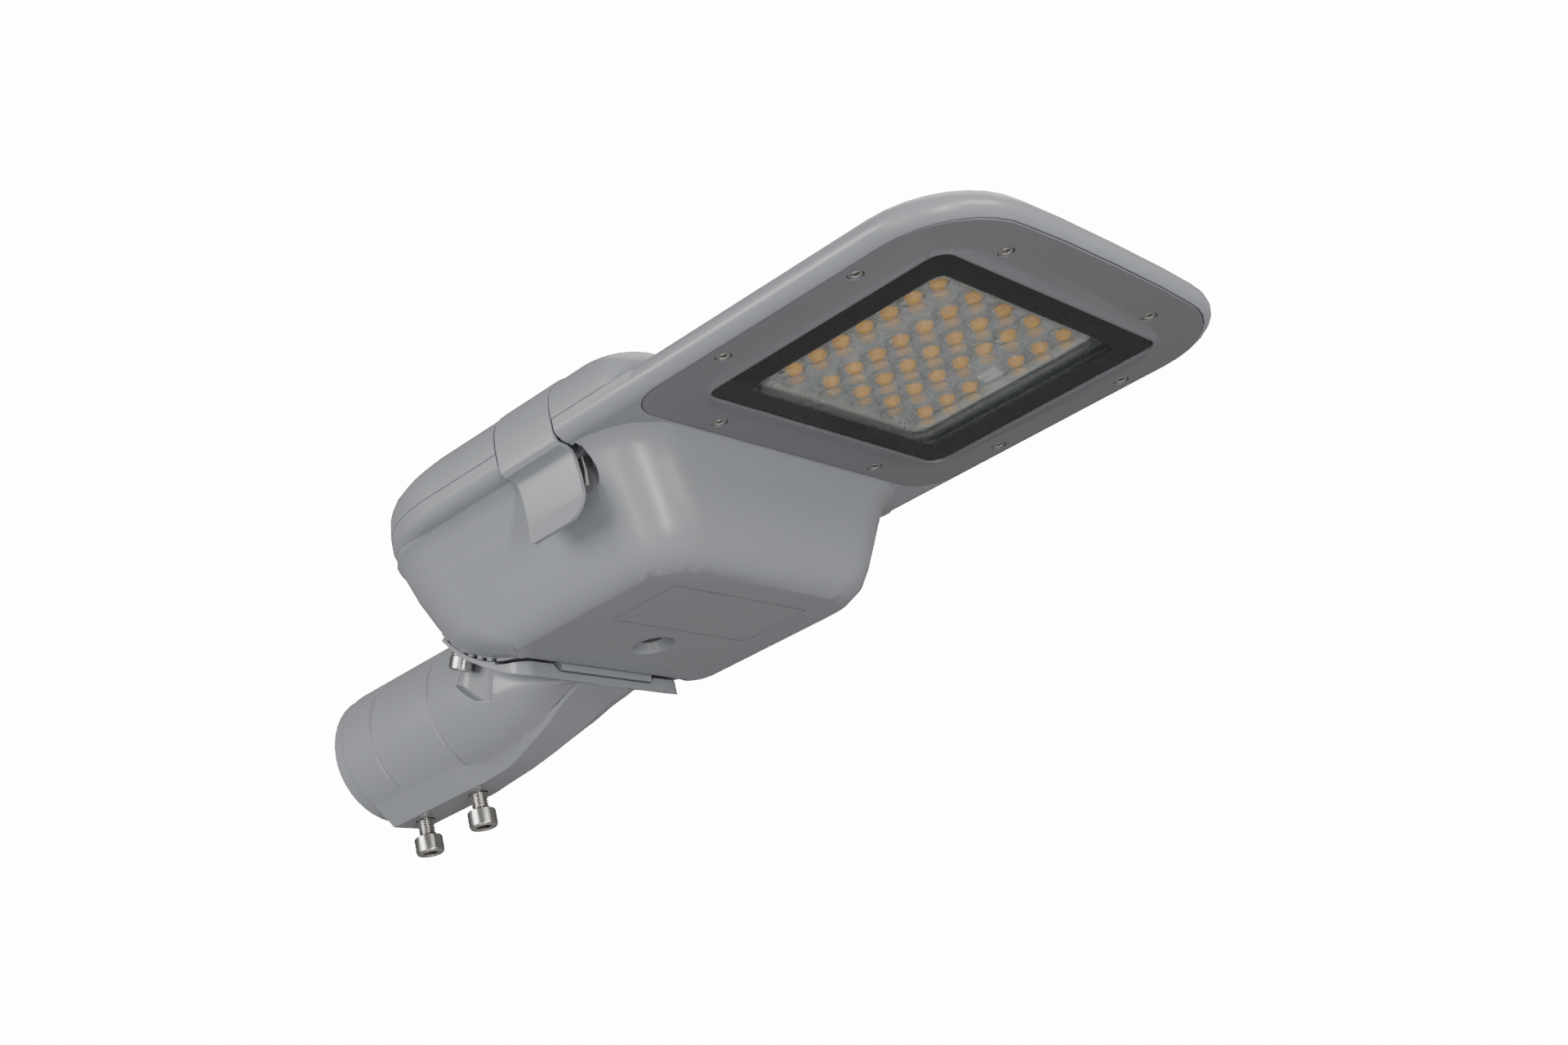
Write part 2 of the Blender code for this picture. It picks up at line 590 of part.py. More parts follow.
def arm_sections():
    """Sections along the tube with its turned steps, then down the neck to the front plate."""
    full, low_ring = TUBE_RADIUS, TUBE_RADIUS - 0.8
    turned = [
        (0.0, full - 1.6), (1.2, low_ring), (8.6, low_ring), (9.2, full), (32.6, full),
        (33.2, full - 0.9), (34.4, full - 0.9), (35.0, full), (81.8, full), (82.4, full - 0.9),
        (83.6, full - 0.9), (84.2, full),
    ]
    neck = [
        # x, half width, bottom z, middle z, top z, half width at the top
        (98.0, 40.0, -39.4, -2.0, 34.5, 5.0),
        (108.0, 40.6, -38.8, -4.0, 29.5, 14.0),
        (118.0, 40.6, -37.2, -6.0, 22.5, 27.0),
        (129.0, 39.7, -34.6, -8.2, 11.9, 36.0),
        (140.0, 38.0, -32.0, -11.0, 1.8, 46.0),
        (152.0, 35.0, -27.6, -14.5, -7.4, 53.0),
        (164.0, 31.0, -24.2, -18.0, -15.0, 57.0),
        (177.8, 23.0, -22.1, -21.4, -20.9, 59.2),
    ]
    tube = [arm_section(x, radius, -radius, 0.0, radius, 0.2) for x, radius in turned]
    return tube + [arm_section(*row) for row in neck]


def keel_sections():
    """The set-screw boss under the tube, carried on as a keel under the neck."""
    rows = [
        # x, bottom z, half width of the flat, half width and z of the facets' upper edges
        (5.0, -40.5, 9.0, 19.0, -32.0),
        (9.0, BOSS_FACE_Z, 11.0, 24.0, -30.0),
        (70.0, BOSS_FACE_Z, 11.0, 24.0, -30.0),
        (85.0, -43.6, 9.0, 18.0, -34.5),
        (105.0, -42.0, 8.6, 18.0, -34.6),
        (115.0, -39.8, 10.0, 17.5, -33.4),
        (125.0, -37.3, 11.5, 17.0, -32.0),
        (135.0, -34.5, 12.5, 16.5, -30.0),
        (145.0, -31.2, 13.5, 16.5, -28.2),
        (155.0, -27.4, 15.2, 17.0, -26.0),
        (166.0, -24.4, 16.5, 18.0, -23.0),
        (176.0, -22.4, 18.0, 19.5, -21.8),
    ]
    return [
        [(x, -flat, low), (x, flat, low), (x, outer, shoulder), (x, 7.0, -18.0), (x, -7.0, -18.0), (x, -outer, shoulder)]
        for x, low, flat, outer, shoulder in rows
    ]


def wing_bmesh():
    """The flange on each side of the neck: thin at the tail and thick at the front plate."""
    outer = [
        # radius about the tilt axis, degrees from straight down
        (82.5, 5.5), (81.5, 8.2), (78.9, 16.5), (76.2, 27.1), (75.4, 36.8), (75.4, 46.0), (75.4, 56.0),
    ]
    points = [seat_point(radius, angle) for radius, angle in outer]
    points += [seat_point(60.0, angle) for angle in (56.0, 30.0, 5.5)]
    return prism_bmesh(points, -SEAT_HALF, SEAT_HALF, "Y")


def spigot(make):
    tube = make.part("spigot_casting", loft_bmesh(arm_sections()), make.paint)
    make.join(tube, loft_bmesh(keel_sections()))

    # The saddle that slides round the seat: plate, wings and tabs.
    make.join(tube, wing_bmesh())
    make.cut(tube, sector_bmesh(30.0, SEAT_RADIUS + GAP, -20.0, 90.0, 80.0, 24))
    make.cut(tube, sector_bmesh(50.0, TAB_RADIUS + GAP, -10.0, 21.5, 80.0, 8))
    make.cut(tube, sector_bmesh(55.0, RIB_RADIUS + 0.4, -12.0, 50.0, RIB_HALF + 0.4, 18))
    for side in (1, -1):
        notch = [(side * 33.8, -10.0), (side * 33.8, -17.2), (side * 34.6, -17.2), (side * 38.5, -13.0), (side * 38.5, -10.0)]
        make.cut(tube, prism_bmesh(notch, 168.0, 180.0, "X"))
    front = [(177.8, -60.0), (190.0, -60.0), (190.0, 20.0), (177.8, 20.0)]
    make.cut(tube, prism_bmesh(front, -90.0, 90.0, "Y"))
    for side in (1, -1):
        corner = arc((168.8, side * 51.0), (9.0, side * 9.0), 0, 90, 6)
        corner += [(168.8, side * 66.0), (184.0, side * 66.0), (184.0, side * 51.0)]
        make.cut(tube, prism_bmesh(corner, -40.0, 30.0))

    # Pole socket and the cable way into the saddle.
    make.cut(tube, rod_bmesh(SOCKET_RADIUS, (-5.0, 0, 0), (SOCKET_DEPTH, 0, 0), 48))
    make.cut(tube, rod_bmesh(12.0, (80.0, 0, -8.0), (148.0, 0, -9.0), 24))
    for x in SET_SCREW_X:
        make.cut(tube, rod_bmesh(5.0 + GAP, (x, 0, -60.0), (x, 0, -20.0), 20))

    # Clear path for the tilt bolts as the lamp tips up.
    for side in (1, -1):
        seat, tip = tilt_bolt_line(side)
        along = (seat - tip).normalized()
        make.cut(tube, swept(7.25, seat - along * 2.9, seat + along * 16.0, 20))
        make.cut(tube, swept(4.7, tip, seat + along * 3.0, 14))
    return tube


def swept(radius, start, end, segments):
    """The hull of a rod carried through the tilt range."""
    hull = bmesh.new()
    centre = Vector((TILT_X, 0, TILT_Z))
    for degrees in (0.0, -3.7, -7.4, -11.0):
        rod = rod_bmesh(radius, start, end, segments)
        turn = Matrix.Rotation(math.radians(degrees), 4, "Y")
        bmesh.ops.transform(
            rod, matrix=Matrix.Translation(centre) @ turn @ Matrix.Translation(-centre), verts=rod.verts
        )
        for vert in rod.verts:
            hull.verts.new(vert.co)
        rod.free()
    found = bmesh.ops.convex_hull(hull, input=hull.verts)
    inside = [item for item in found["geom_interior"] if isinstance(item, bmesh.types.BMVert)]
    bmesh.ops.delete(hull, geom=inside, context="VERTS")
    return hull


def socket_screw(make, name, head_top, head_end, tip, head_radius, shank_radius, hex_radius):
    """A socket head cap screw between three points on one axis."""
    head = make.part(name, rod_bmesh(head_radius, head_top, head_end, 28), make.steel)
    make.join(head, rod_bmesh(shank_radius, tip, (head_top + head_end) / 2, 18))
    along = (head_end - head_top).normalized()
    make.cut(head, rod_bmesh(hex_radius, head_end - along * 5.5, head_end + along * 2, 6))
    return head


def screws(make):
    for word, x in zip(("rear", "front"), SET_SCREW_X):
        head_top, head_end, tip = Vector((x, 0, -53.8)), Vector((x, 0, -63.8)), Vector((x, 0, -31.0))
        socket_screw(make, f"set_screw_{word}", head_top, head_end, tip, 8.0, 5.0, 4.6)
    for word, side in (("left", 1), ("right", -1)):
        seat, tip = tilt_bolt_line(side)
        along = (seat - tip).normalized()
        socket_screw(make, f"tilt_bolt_{word}", seat, seat + along * 8.0, tip + along * 2.0, 6.5, 4.0, 3.4)
        washer = make.part(f"tilt_washer_{word}", rod_bmesh(6.3, seat - along * 2.5, seat - along * 0.2, 24), make.steel)
        make.cut(washer, rod_bmesh(4.2, seat - along * 5.0, seat + along * 2.0, 18))


# Inside the gear box ------------------------------------------------------------------
def gear(make):
    tray = make.part("gear_tray", box_bmesh((205.0, -72.0, 4.0), (300.0, 72.0, 5.6)), make.zinc)
    for x, y in ((209.0, 64.0), (209.0, -64.0), (296.0, 64.0), (296.0, -64.0)):
        make.cut(tray, rod_bmesh(2.3, (x, y, 0.0), (x, y, 10.0), 12))
    driver = make.part("led_driver", box_bmesh((212.0, -30.0, 5.9), (292.0, 60.0, 34.0)), make.plastic)
    bevel = driver.modifiers.new("edges", "BEVEL")
    bevel.width = 0.002
    bevel.segments = 1
    make.part("surge_protector", box_bmesh((215.0, -68.0, 5.9), (254.0, -36.0, 28.0)), make.dark_plastic)
    block = make.part("terminal_block", box_bmesh((258.0, -66.0, 5.9), (290.0, -38.0, 20.0)), make.plastic)
    for i in range(3):
        y = -60.0 + i * 8.0
        make.cut(block, box_bmesh((270.0, y, 14.0), (278.0, y + 5.0, 24.0)))
    number = 0
    for x, y in ((209.0, 64.0), (209.0, -64.0), (296.0, 64.0), (296.0, -64.0)):
        number += 1
        screw = make.part(f"tray_screw_{number}", rod_bmesh(3.8, (x, y, 5.9), (x, y, 8.2), 14, 3.2), make.steel)
        make.join(screw, rod_bmesh(2.0, (x, y, 1.0), (x, y, 7.0), 10))
    clamp = make.part("cable_clamp", box_bmesh((182.0, -14.0, -10.0), (194.0, 14.0, 0.0)), make.dark_plastic)
    make.cut(clamp, rod_bmesh(5.5, (170.0, 0, -3.0), (200.0, 0, -3.0), 20))
    entry = [Vector((p[0], 0, p[1])) for p in (seat_point(66.0, 28), seat_point(77.4, 28))]
    grommet = make.part("cable_grommet", rod_bmesh(8.0, entry[0], entry[1], 24, 7.6), make.rubber)
    along = (entry[1] - entry[0]).normalized()
    make.cut(grommet, rod_bmesh(5.0, entry[0] - along * 4, entry[1] + along * 4, 20))
    make.part("port_plug", rod_bmesh(7.4, (213.8, 0, -8.5), (213.8, 0, -9.6), 24, 6.8), make.dark_plastic)


def cover_small_parts(make):
    outer = plan(322.9, 133.3, 104.9, (33.5, 33.5), (57.5, 51.5))
    inner = plan(319.9, 136.3, 101.9, (30.5, 30.5), (54.5, 48.5))
    make.part("cover_gasket", ring_bmesh(outer, inner, SEAM_Z - 1.7, SEAM_Z), make.rubber)
    for word, middle in zip(("rear", "front"), COVER_PIN_X):
        start = (middle - 8.6, COVER_PIN_Y, COVER_PIN_Z)
        end = (middle + 8.6, COVER_PIN_Y, COVER_PIN_Z)
        make.part(f"cover_pin_{word}", rod_bmesh(2.0, start, end, 16), make.steel)


def main():
    clear_scene()
    make = Builder()
    housing(make)
    cover(make)
    cover_small_parts(make)
    latch(make, LATCH_SIDE)
    latch_small_parts(make, LATCH_SIDE)
    light_unit(make)
    spigot(make)
    screws(make)
    gear(make)


main()
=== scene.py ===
"""Looks of a road lantern with a pole spigot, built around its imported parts."""

import json
import logging
import math
from collections.abc import Sequence
from dataclasses import dataclass, field
from enum import Enum

import bmesh
import bpy
from mathutils import Matrix, Vector


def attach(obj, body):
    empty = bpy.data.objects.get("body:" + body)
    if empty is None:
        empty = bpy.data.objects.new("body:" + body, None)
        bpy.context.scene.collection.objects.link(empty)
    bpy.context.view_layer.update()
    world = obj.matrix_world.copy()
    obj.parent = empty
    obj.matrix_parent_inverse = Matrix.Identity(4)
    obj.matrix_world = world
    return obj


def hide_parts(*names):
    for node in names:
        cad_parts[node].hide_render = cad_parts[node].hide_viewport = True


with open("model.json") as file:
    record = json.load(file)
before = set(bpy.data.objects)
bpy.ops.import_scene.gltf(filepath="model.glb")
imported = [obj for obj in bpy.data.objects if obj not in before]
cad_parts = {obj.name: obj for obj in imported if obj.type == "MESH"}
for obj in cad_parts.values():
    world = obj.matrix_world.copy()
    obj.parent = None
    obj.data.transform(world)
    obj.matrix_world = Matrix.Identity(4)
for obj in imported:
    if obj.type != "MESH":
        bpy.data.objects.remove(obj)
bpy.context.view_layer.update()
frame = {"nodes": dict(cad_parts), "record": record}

MM = 0.001
LOG = logging.getLogger("lantern")
Point = tuple[float, float, float]
Flat = tuple[float, float]
Socket = bpy.types.NodeSocket

DOWN = (0.0, 0.0, -1.0)
SHARP_DEGREES = 32.0
TURNED_SHARP_DEGREES = 38.0
EDGE_SAMPLES = 6
EDGE_TURN = (0.01, 0.22)
BUMP_METRES = 0.0003

# Threads, knurls and recesses of turned pieces. Pitch and depths are in mm, the rest are shares.
THREAD_PITCH = 1.5
THREAD_DEPTH = 0.85
THREAD_FLANK = 1.35
KNURL_DEPTH = 0.32
STAR_WAVE = 0.13
CROSS_CORE = 0.36


class Slot(Enum):
    """Material slots of the record."""

    GREY_PAINT = "grey_paint"
    FRAME_PAINT = "frame_paint"
    STEEL = "steel"
    ZINC = "zinc"
    RUBBER = "rubber"
    GLASS = "glass"
    ACRYLIC = "acrylic"
    BOARD = "board"
    WHITE_PLASTIC = "white_plastic"
    BLACK_PLASTIC = "black_plastic"


class Outline(Enum):
    """Shapes that a turned piece takes across its axis."""

    ROUND = "round"
    KNURLED = "knurled"
    HEX = "hex"
    STAR = "star"
    CROSS = "cross"
    THREAD = "thread"


# Shader groups -------------------------------------------------------------------------
class Wiring:
    """Lays nodes in one tree and links them."""

    def __init__(self, tree: bpy.types.NodeTree) -> None:
        """Keeps the tree that is worked on."""
        self.tree = tree

    def node(self, kind: str, values: dict | None = None, **fields: object) -> bpy.types.Node:
        """Adds one node.

        Args:
            kind: the node type's identifier.
            values: socket values by name or number.
            **fields: settings of the node itself.

        Returns:
            The new node.
        """
        made = self.tree.nodes.new(kind)
        for key, value in fields.items():
            setattr(made, key, value)
        for key, value in (values or {}).items():
            made.inputs[key].default_value = value
        return made

    def link(self, source: Socket, target: Socket) -> None:
        """Joins an output socket to an input socket."""
        self.tree.links.new(source, target)

    def math(self, operation: str, first: Socket | float, second: Socket | float) -> Socket:
        """Adds a Math node.

        Args:
            operation: the identifier of what it works out.
            first: a socket or a number.
            second: a socket or a number.

        Returns:
            The node's output socket.
        """
        made = self.node("ShaderNodeMath", operation=operation)
        for place, item in enumerate((first, second)):
            if isinstance(item, Socket):
                self.link(item, made.inputs[place])
            else:
                made.inputs[place].default_value = item
        return made.outputs[0]

    def noise(self, where: Socket, scale: Socket | float, detail: float = 2.0) -> Socket:
        """Adds a noise texture.

        Args:
            where: coordinates to read.
            scale: a socket or a number of cells per metre.
            detail: octaves of finer noise.

        Returns:
            The noise as a value between 0 and 1.
        """
        made = self.node("ShaderNodeTexNoise", {"Detail": detail})
        self.link(where, made.inputs["Vector"])
        if isinstance(scale, Socket):
            self.link(scale, made.inputs["Scale"])
        else:
            made.inputs["Scale"].default_value = scale
        return made.outputs[0]

    def ramp(
        self, value: Socket, low: float, high: float, to: Flat = (0.0, 1.0)
    ) -> Socket:
        """Maps a value from one range to another, clamped.

        Args:
            value: the socket to read.
            low: where the first range starts.
            high: where the first range ends.
            to: the second range.

        Returns:
            The mapped value's socket.
        """
        limits = {"From Min": low, "From Max": high, "To Min": to[0], "To Max": to[1]}
        made = self.node("ShaderNodeMapRange", limits)
        self.link(value, made.inputs["Value"])
        return made.outputs[0]


def new_group(
    name: str, inputs: dict[str, float], outputs: dict[str, str]
) -> tuple[Wiring, bpy.types.Node, bpy.types.Node]:
    """Starts a shader node group.

    Args:
        name: the group's name.
        inputs: default values by input name.
        outputs: socket types by output name.

    Returns:
        The wiring of the group, its input node and its output node.
    """
    tree = bpy.data.node_groups.new(name, "ShaderNodeTree")
    for label, value in inputs.items():
        socket = tree.interface.new_socket(label, in_out="INPUT", socket_type="NodeSocketFloat")
        socket.default_value = value
    for label, kind in outputs.items():
        tree.interface.new_socket(label, in_out="OUTPUT", socket_type=kind)
    wiring = Wiring(tree)
    return wiring, wiring.node("NodeGroupInput"), wiring.node("NodeGroupOutput")


@dataclass
class SurfaceEffects:
    """Shader groups that the finishes share."""

    casting_skin: bpy.types.NodeTree = field(init=False)
    metal_lay: bpy.types.NodeTree = field(init=False)
    moulded_grain: bpy.types.NodeTree = field(init=False)

    def __post_init__(self) -> None:
        """Builds every group once."""
        self.casting_skin = self._casting_skin()
        self.metal_lay = self._metal_lay()
        self.moulded_grain = self._moulded_grain()

    def _rounded_edge(self, wiring: Wiring, radius: Socket) -> tuple[Socket, Socket]:
        """Adds soft edges.

        Args:
            wiring: the tree to add to.
            radius: the edge radius in metres.

        Returns:
            The rounded normal, and a mask that is high near an edge.
        """
        bevel = wiring.node("ShaderNodeBevel", samples=EDGE_SAMPLES)
        wiring.link(radius, bevel.inputs["Radius"])
        flat = wiring.node("ShaderNodeNewGeometry")
        facing = wiring.node("ShaderNodeVectorMath", operation="DOT_PRODUCT")
        wiring.link(bevel.outputs[0], facing.inputs[0])
        wiring.link(flat.outputs["Normal"], facing.inputs[1])
        turned = wiring.math("SUBTRACT", 1.0, facing.outputs["Value"])
        return bevel.outputs[0], wiring.ramp(turned, *EDGE_TURN)

    def _finish_bump(self, wiring: Wiring, height: Socket, depth: Socket, normal: Socket) -> Socket:
        """Adds the bump that closes each group.

        Args:
            wiring: the tree to add to.
            height: the height to bump by.
            depth: the strength.
            normal: the normal to start from.

        Returns:
            The bumped normal's socket.
        """
        bump = wiring.node("ShaderNodeBump", {"Distance": BUMP_METRES})
        wiring.link(height, bump.inputs["Height"])
        wiring.link(depth, bump.inputs["Strength"])
        wiring.link(normal, bump.inputs["Normal"])
        return bump.outputs[0]

    def _casting_skin(self) -> bpy.types.NodeTree:
        """Powder coat over a casting: orange peel, a few pits, soft edges and uneven tone."""
        inputs = {"Peel per metre": 620.0, "Peel depth": 0.12, "Edge radius": 0.0009}
        outputs = {"Normal": "NodeSocketVector", "Edge": "NodeSocketFloat", "Tone": "NodeSocketFloat"}
        wiring, given, result = new_group("casting_skin", inputs, outputs)
        where = wiring.node("ShaderNodeTexCoord").outputs["Object"]
        broad_cells, tone_cells, pit_cells = 46.0, 12.0, 240.0
        broad_share, pit_share = 1.6, 2.4
        peel = wiring.noise(where, given.outputs["Peel per metre"], 1.5)
        broad = wiring.noise(where, broad_cells, 3.0)
        tone = wiring.noise(where, tone_cells, 3.0)
        pits = wiring.ramp(wiring.noise(where, pit_cells, 1.0), 0.775, 0.81)
        height = wiring.math("ADD", peel, wiring.math("MULTIPLY", broad, broad_share))
        height = wiring.math("SUBTRACT", height, wiring.math("MULTIPLY", pits, pit_share))
        normal, edge = self._rounded_edge(wiring, given.outputs["Edge radius"])
        bumped = self._finish_bump(wiring, height, given.outputs["Peel depth"], normal)
        wiring.link(bumped, result.inputs["Normal"])
        patchy = wiring.ramp(broad, 0.35, 0.7)
        wiring.link(wiring.math("MULTIPLY", edge, patchy), result.inputs["Edge"])
        wiring.link(tone, result.inputs["Tone"])
        return wiring.tree

    def _metal_lay(self) -> bpy.types.NodeTree:
        """Bare metal: fine tool lay, handling marks and bright edges."""
        inputs = {"Lay per metre": 1500.0, "Lay depth": 0.15, "Edge radius": 0.0003}
        outputs = {"Normal": "NodeSocketVector", "Edge": "NodeSocketFloat", "Tarnish": "NodeSocketFloat"}
        wiring, given, result = new_group("metal_lay", inputs, outputs)
        where = wiring.node("ShaderNodeTexCoord").outputs["Object"]
        stretch, tarnish_cells = (1.0, 1.0, 6.0), 190.0
        along = wiring.node("ShaderNodeMapping", {"Scale": stretch})
        wiring.link(where, along.inputs["Vector"])
        lay = wiring.noise(along.outputs[0], given.outputs["Lay per metre"], 2.0)
        tarnish = wiring.noise(where, tarnish_cells, 3.0)
        normal, edge = self._rounded_edge(wiring, given.outputs["Edge radius"])
        bumped = self._finish_bump(wiring, lay, given.outputs["Lay depth"], normal)
        wiring.link(bumped, result.inputs["Normal"])
        wiring.link(edge, result.inputs["Edge"])
        wiring.link(tarnish, result.inputs["Tarnish"])
        return wiring.tree

    def _moulded_grain(self) -> bpy.types.NodeTree:
        """Moulded plastic and rubber: fine spark grain, dust and soft edges."""
        inputs = {"Grain per metre": 2600.0, "Grain depth": 0.2, "Edge radius": 0.0005}
        outputs = {"Normal": "NodeSocketVector", "Edge": "NodeSocketFloat", "Dust": "NodeSocketFloat"}
        wiring, given, result = new_group("moulded_grain", inputs, outputs)
        where = wiring.node("ShaderNodeTexCoord").outputs["Object"]
        grain = wiring.noise(where, given.outputs["Grain per metre"], 1.0)
        dust_cells = 70.0
        dust = wiring.ramp(wiring.noise(where, dust_cells, 4.0), 0.4, 0.75)
        normal, edge = self._rounded_edge(wiring, given.outputs["Edge radius"])
        bumped = self._finish_bump(wiring, grain, given.outputs["Grain depth"], normal)
        wiring.link(bumped, result.inputs["Normal"])
        wiring.link(edge, result.inputs["Edge"])
        wiring.link(dust, result.inputs["Dust"])
        return wiring.tree


# Finishes ------------------------------------------------------------------------------
@dataclass(frozen=True)
class Finish:
    """One procedural material built on a Principled shader.

    The colour drifts from base to shade by the group's drift mask, and turns to the worn colour on edges.
    """

    name: str
    slot: Slot
    base: Point
    shade: Point
    worn: Point
    effect: str
    drift: str
    settings: dict
    effect_values: dict
    roughness: Flat
    wear: float = 0.25

    def build(self, effects: SurfaceEffects) -> bpy.types.Material:
        """Builds the material.

        Args:
            effects: the shared shader groups.

        Returns:
            The material.
        """
        material = bpy.data.materials.new(self.name)
        material.use_nodes = True
        wiring = Wiring(material.node_tree)
        shader = material.node_tree.nodes["Principled BSDF"]
        for socket, value in self.settings.items():
            shader.inputs[socket].default_value = value
        group = wiring.node("ShaderNodeGroup", node_tree=getattr(effects, self.effect))
        for socket, value in self.effect_values.items():
            group.inputs[socket].default_value = value
        tones = wiring.node("ShaderNodeMix", data_type="RGBA")
        tones.inputs["A"].default_value = (*self.base, 1.0)
        tones.inputs["B"].default_value = (*self.shade, 1.0)
        wiring.link(group.outputs[self.drift], tones.inputs["Factor"])
        worn = wiring.node("ShaderNodeMix", data_type="RGBA")
        worn.inputs["B"].default_value = (*self.worn, 1.0)
        wiring.link(wiring.math("MULTIPLY", group.outputs["Edge"], self.wear), worn.inputs["Factor"])
        wiring.link(tones.outputs["Result"], worn.inputs["A"])
        wiring.link(worn.outputs["Result"], shader.inputs["Base Color"])
        rough = wiring.ramp(group.outputs[self.drift], 0.25, 0.75, self.roughness)
        wiring.link(rough, shader.inputs["Roughness"])
        wiring.link(group.outputs["Normal"], shader.inputs["Normal"])
        return material


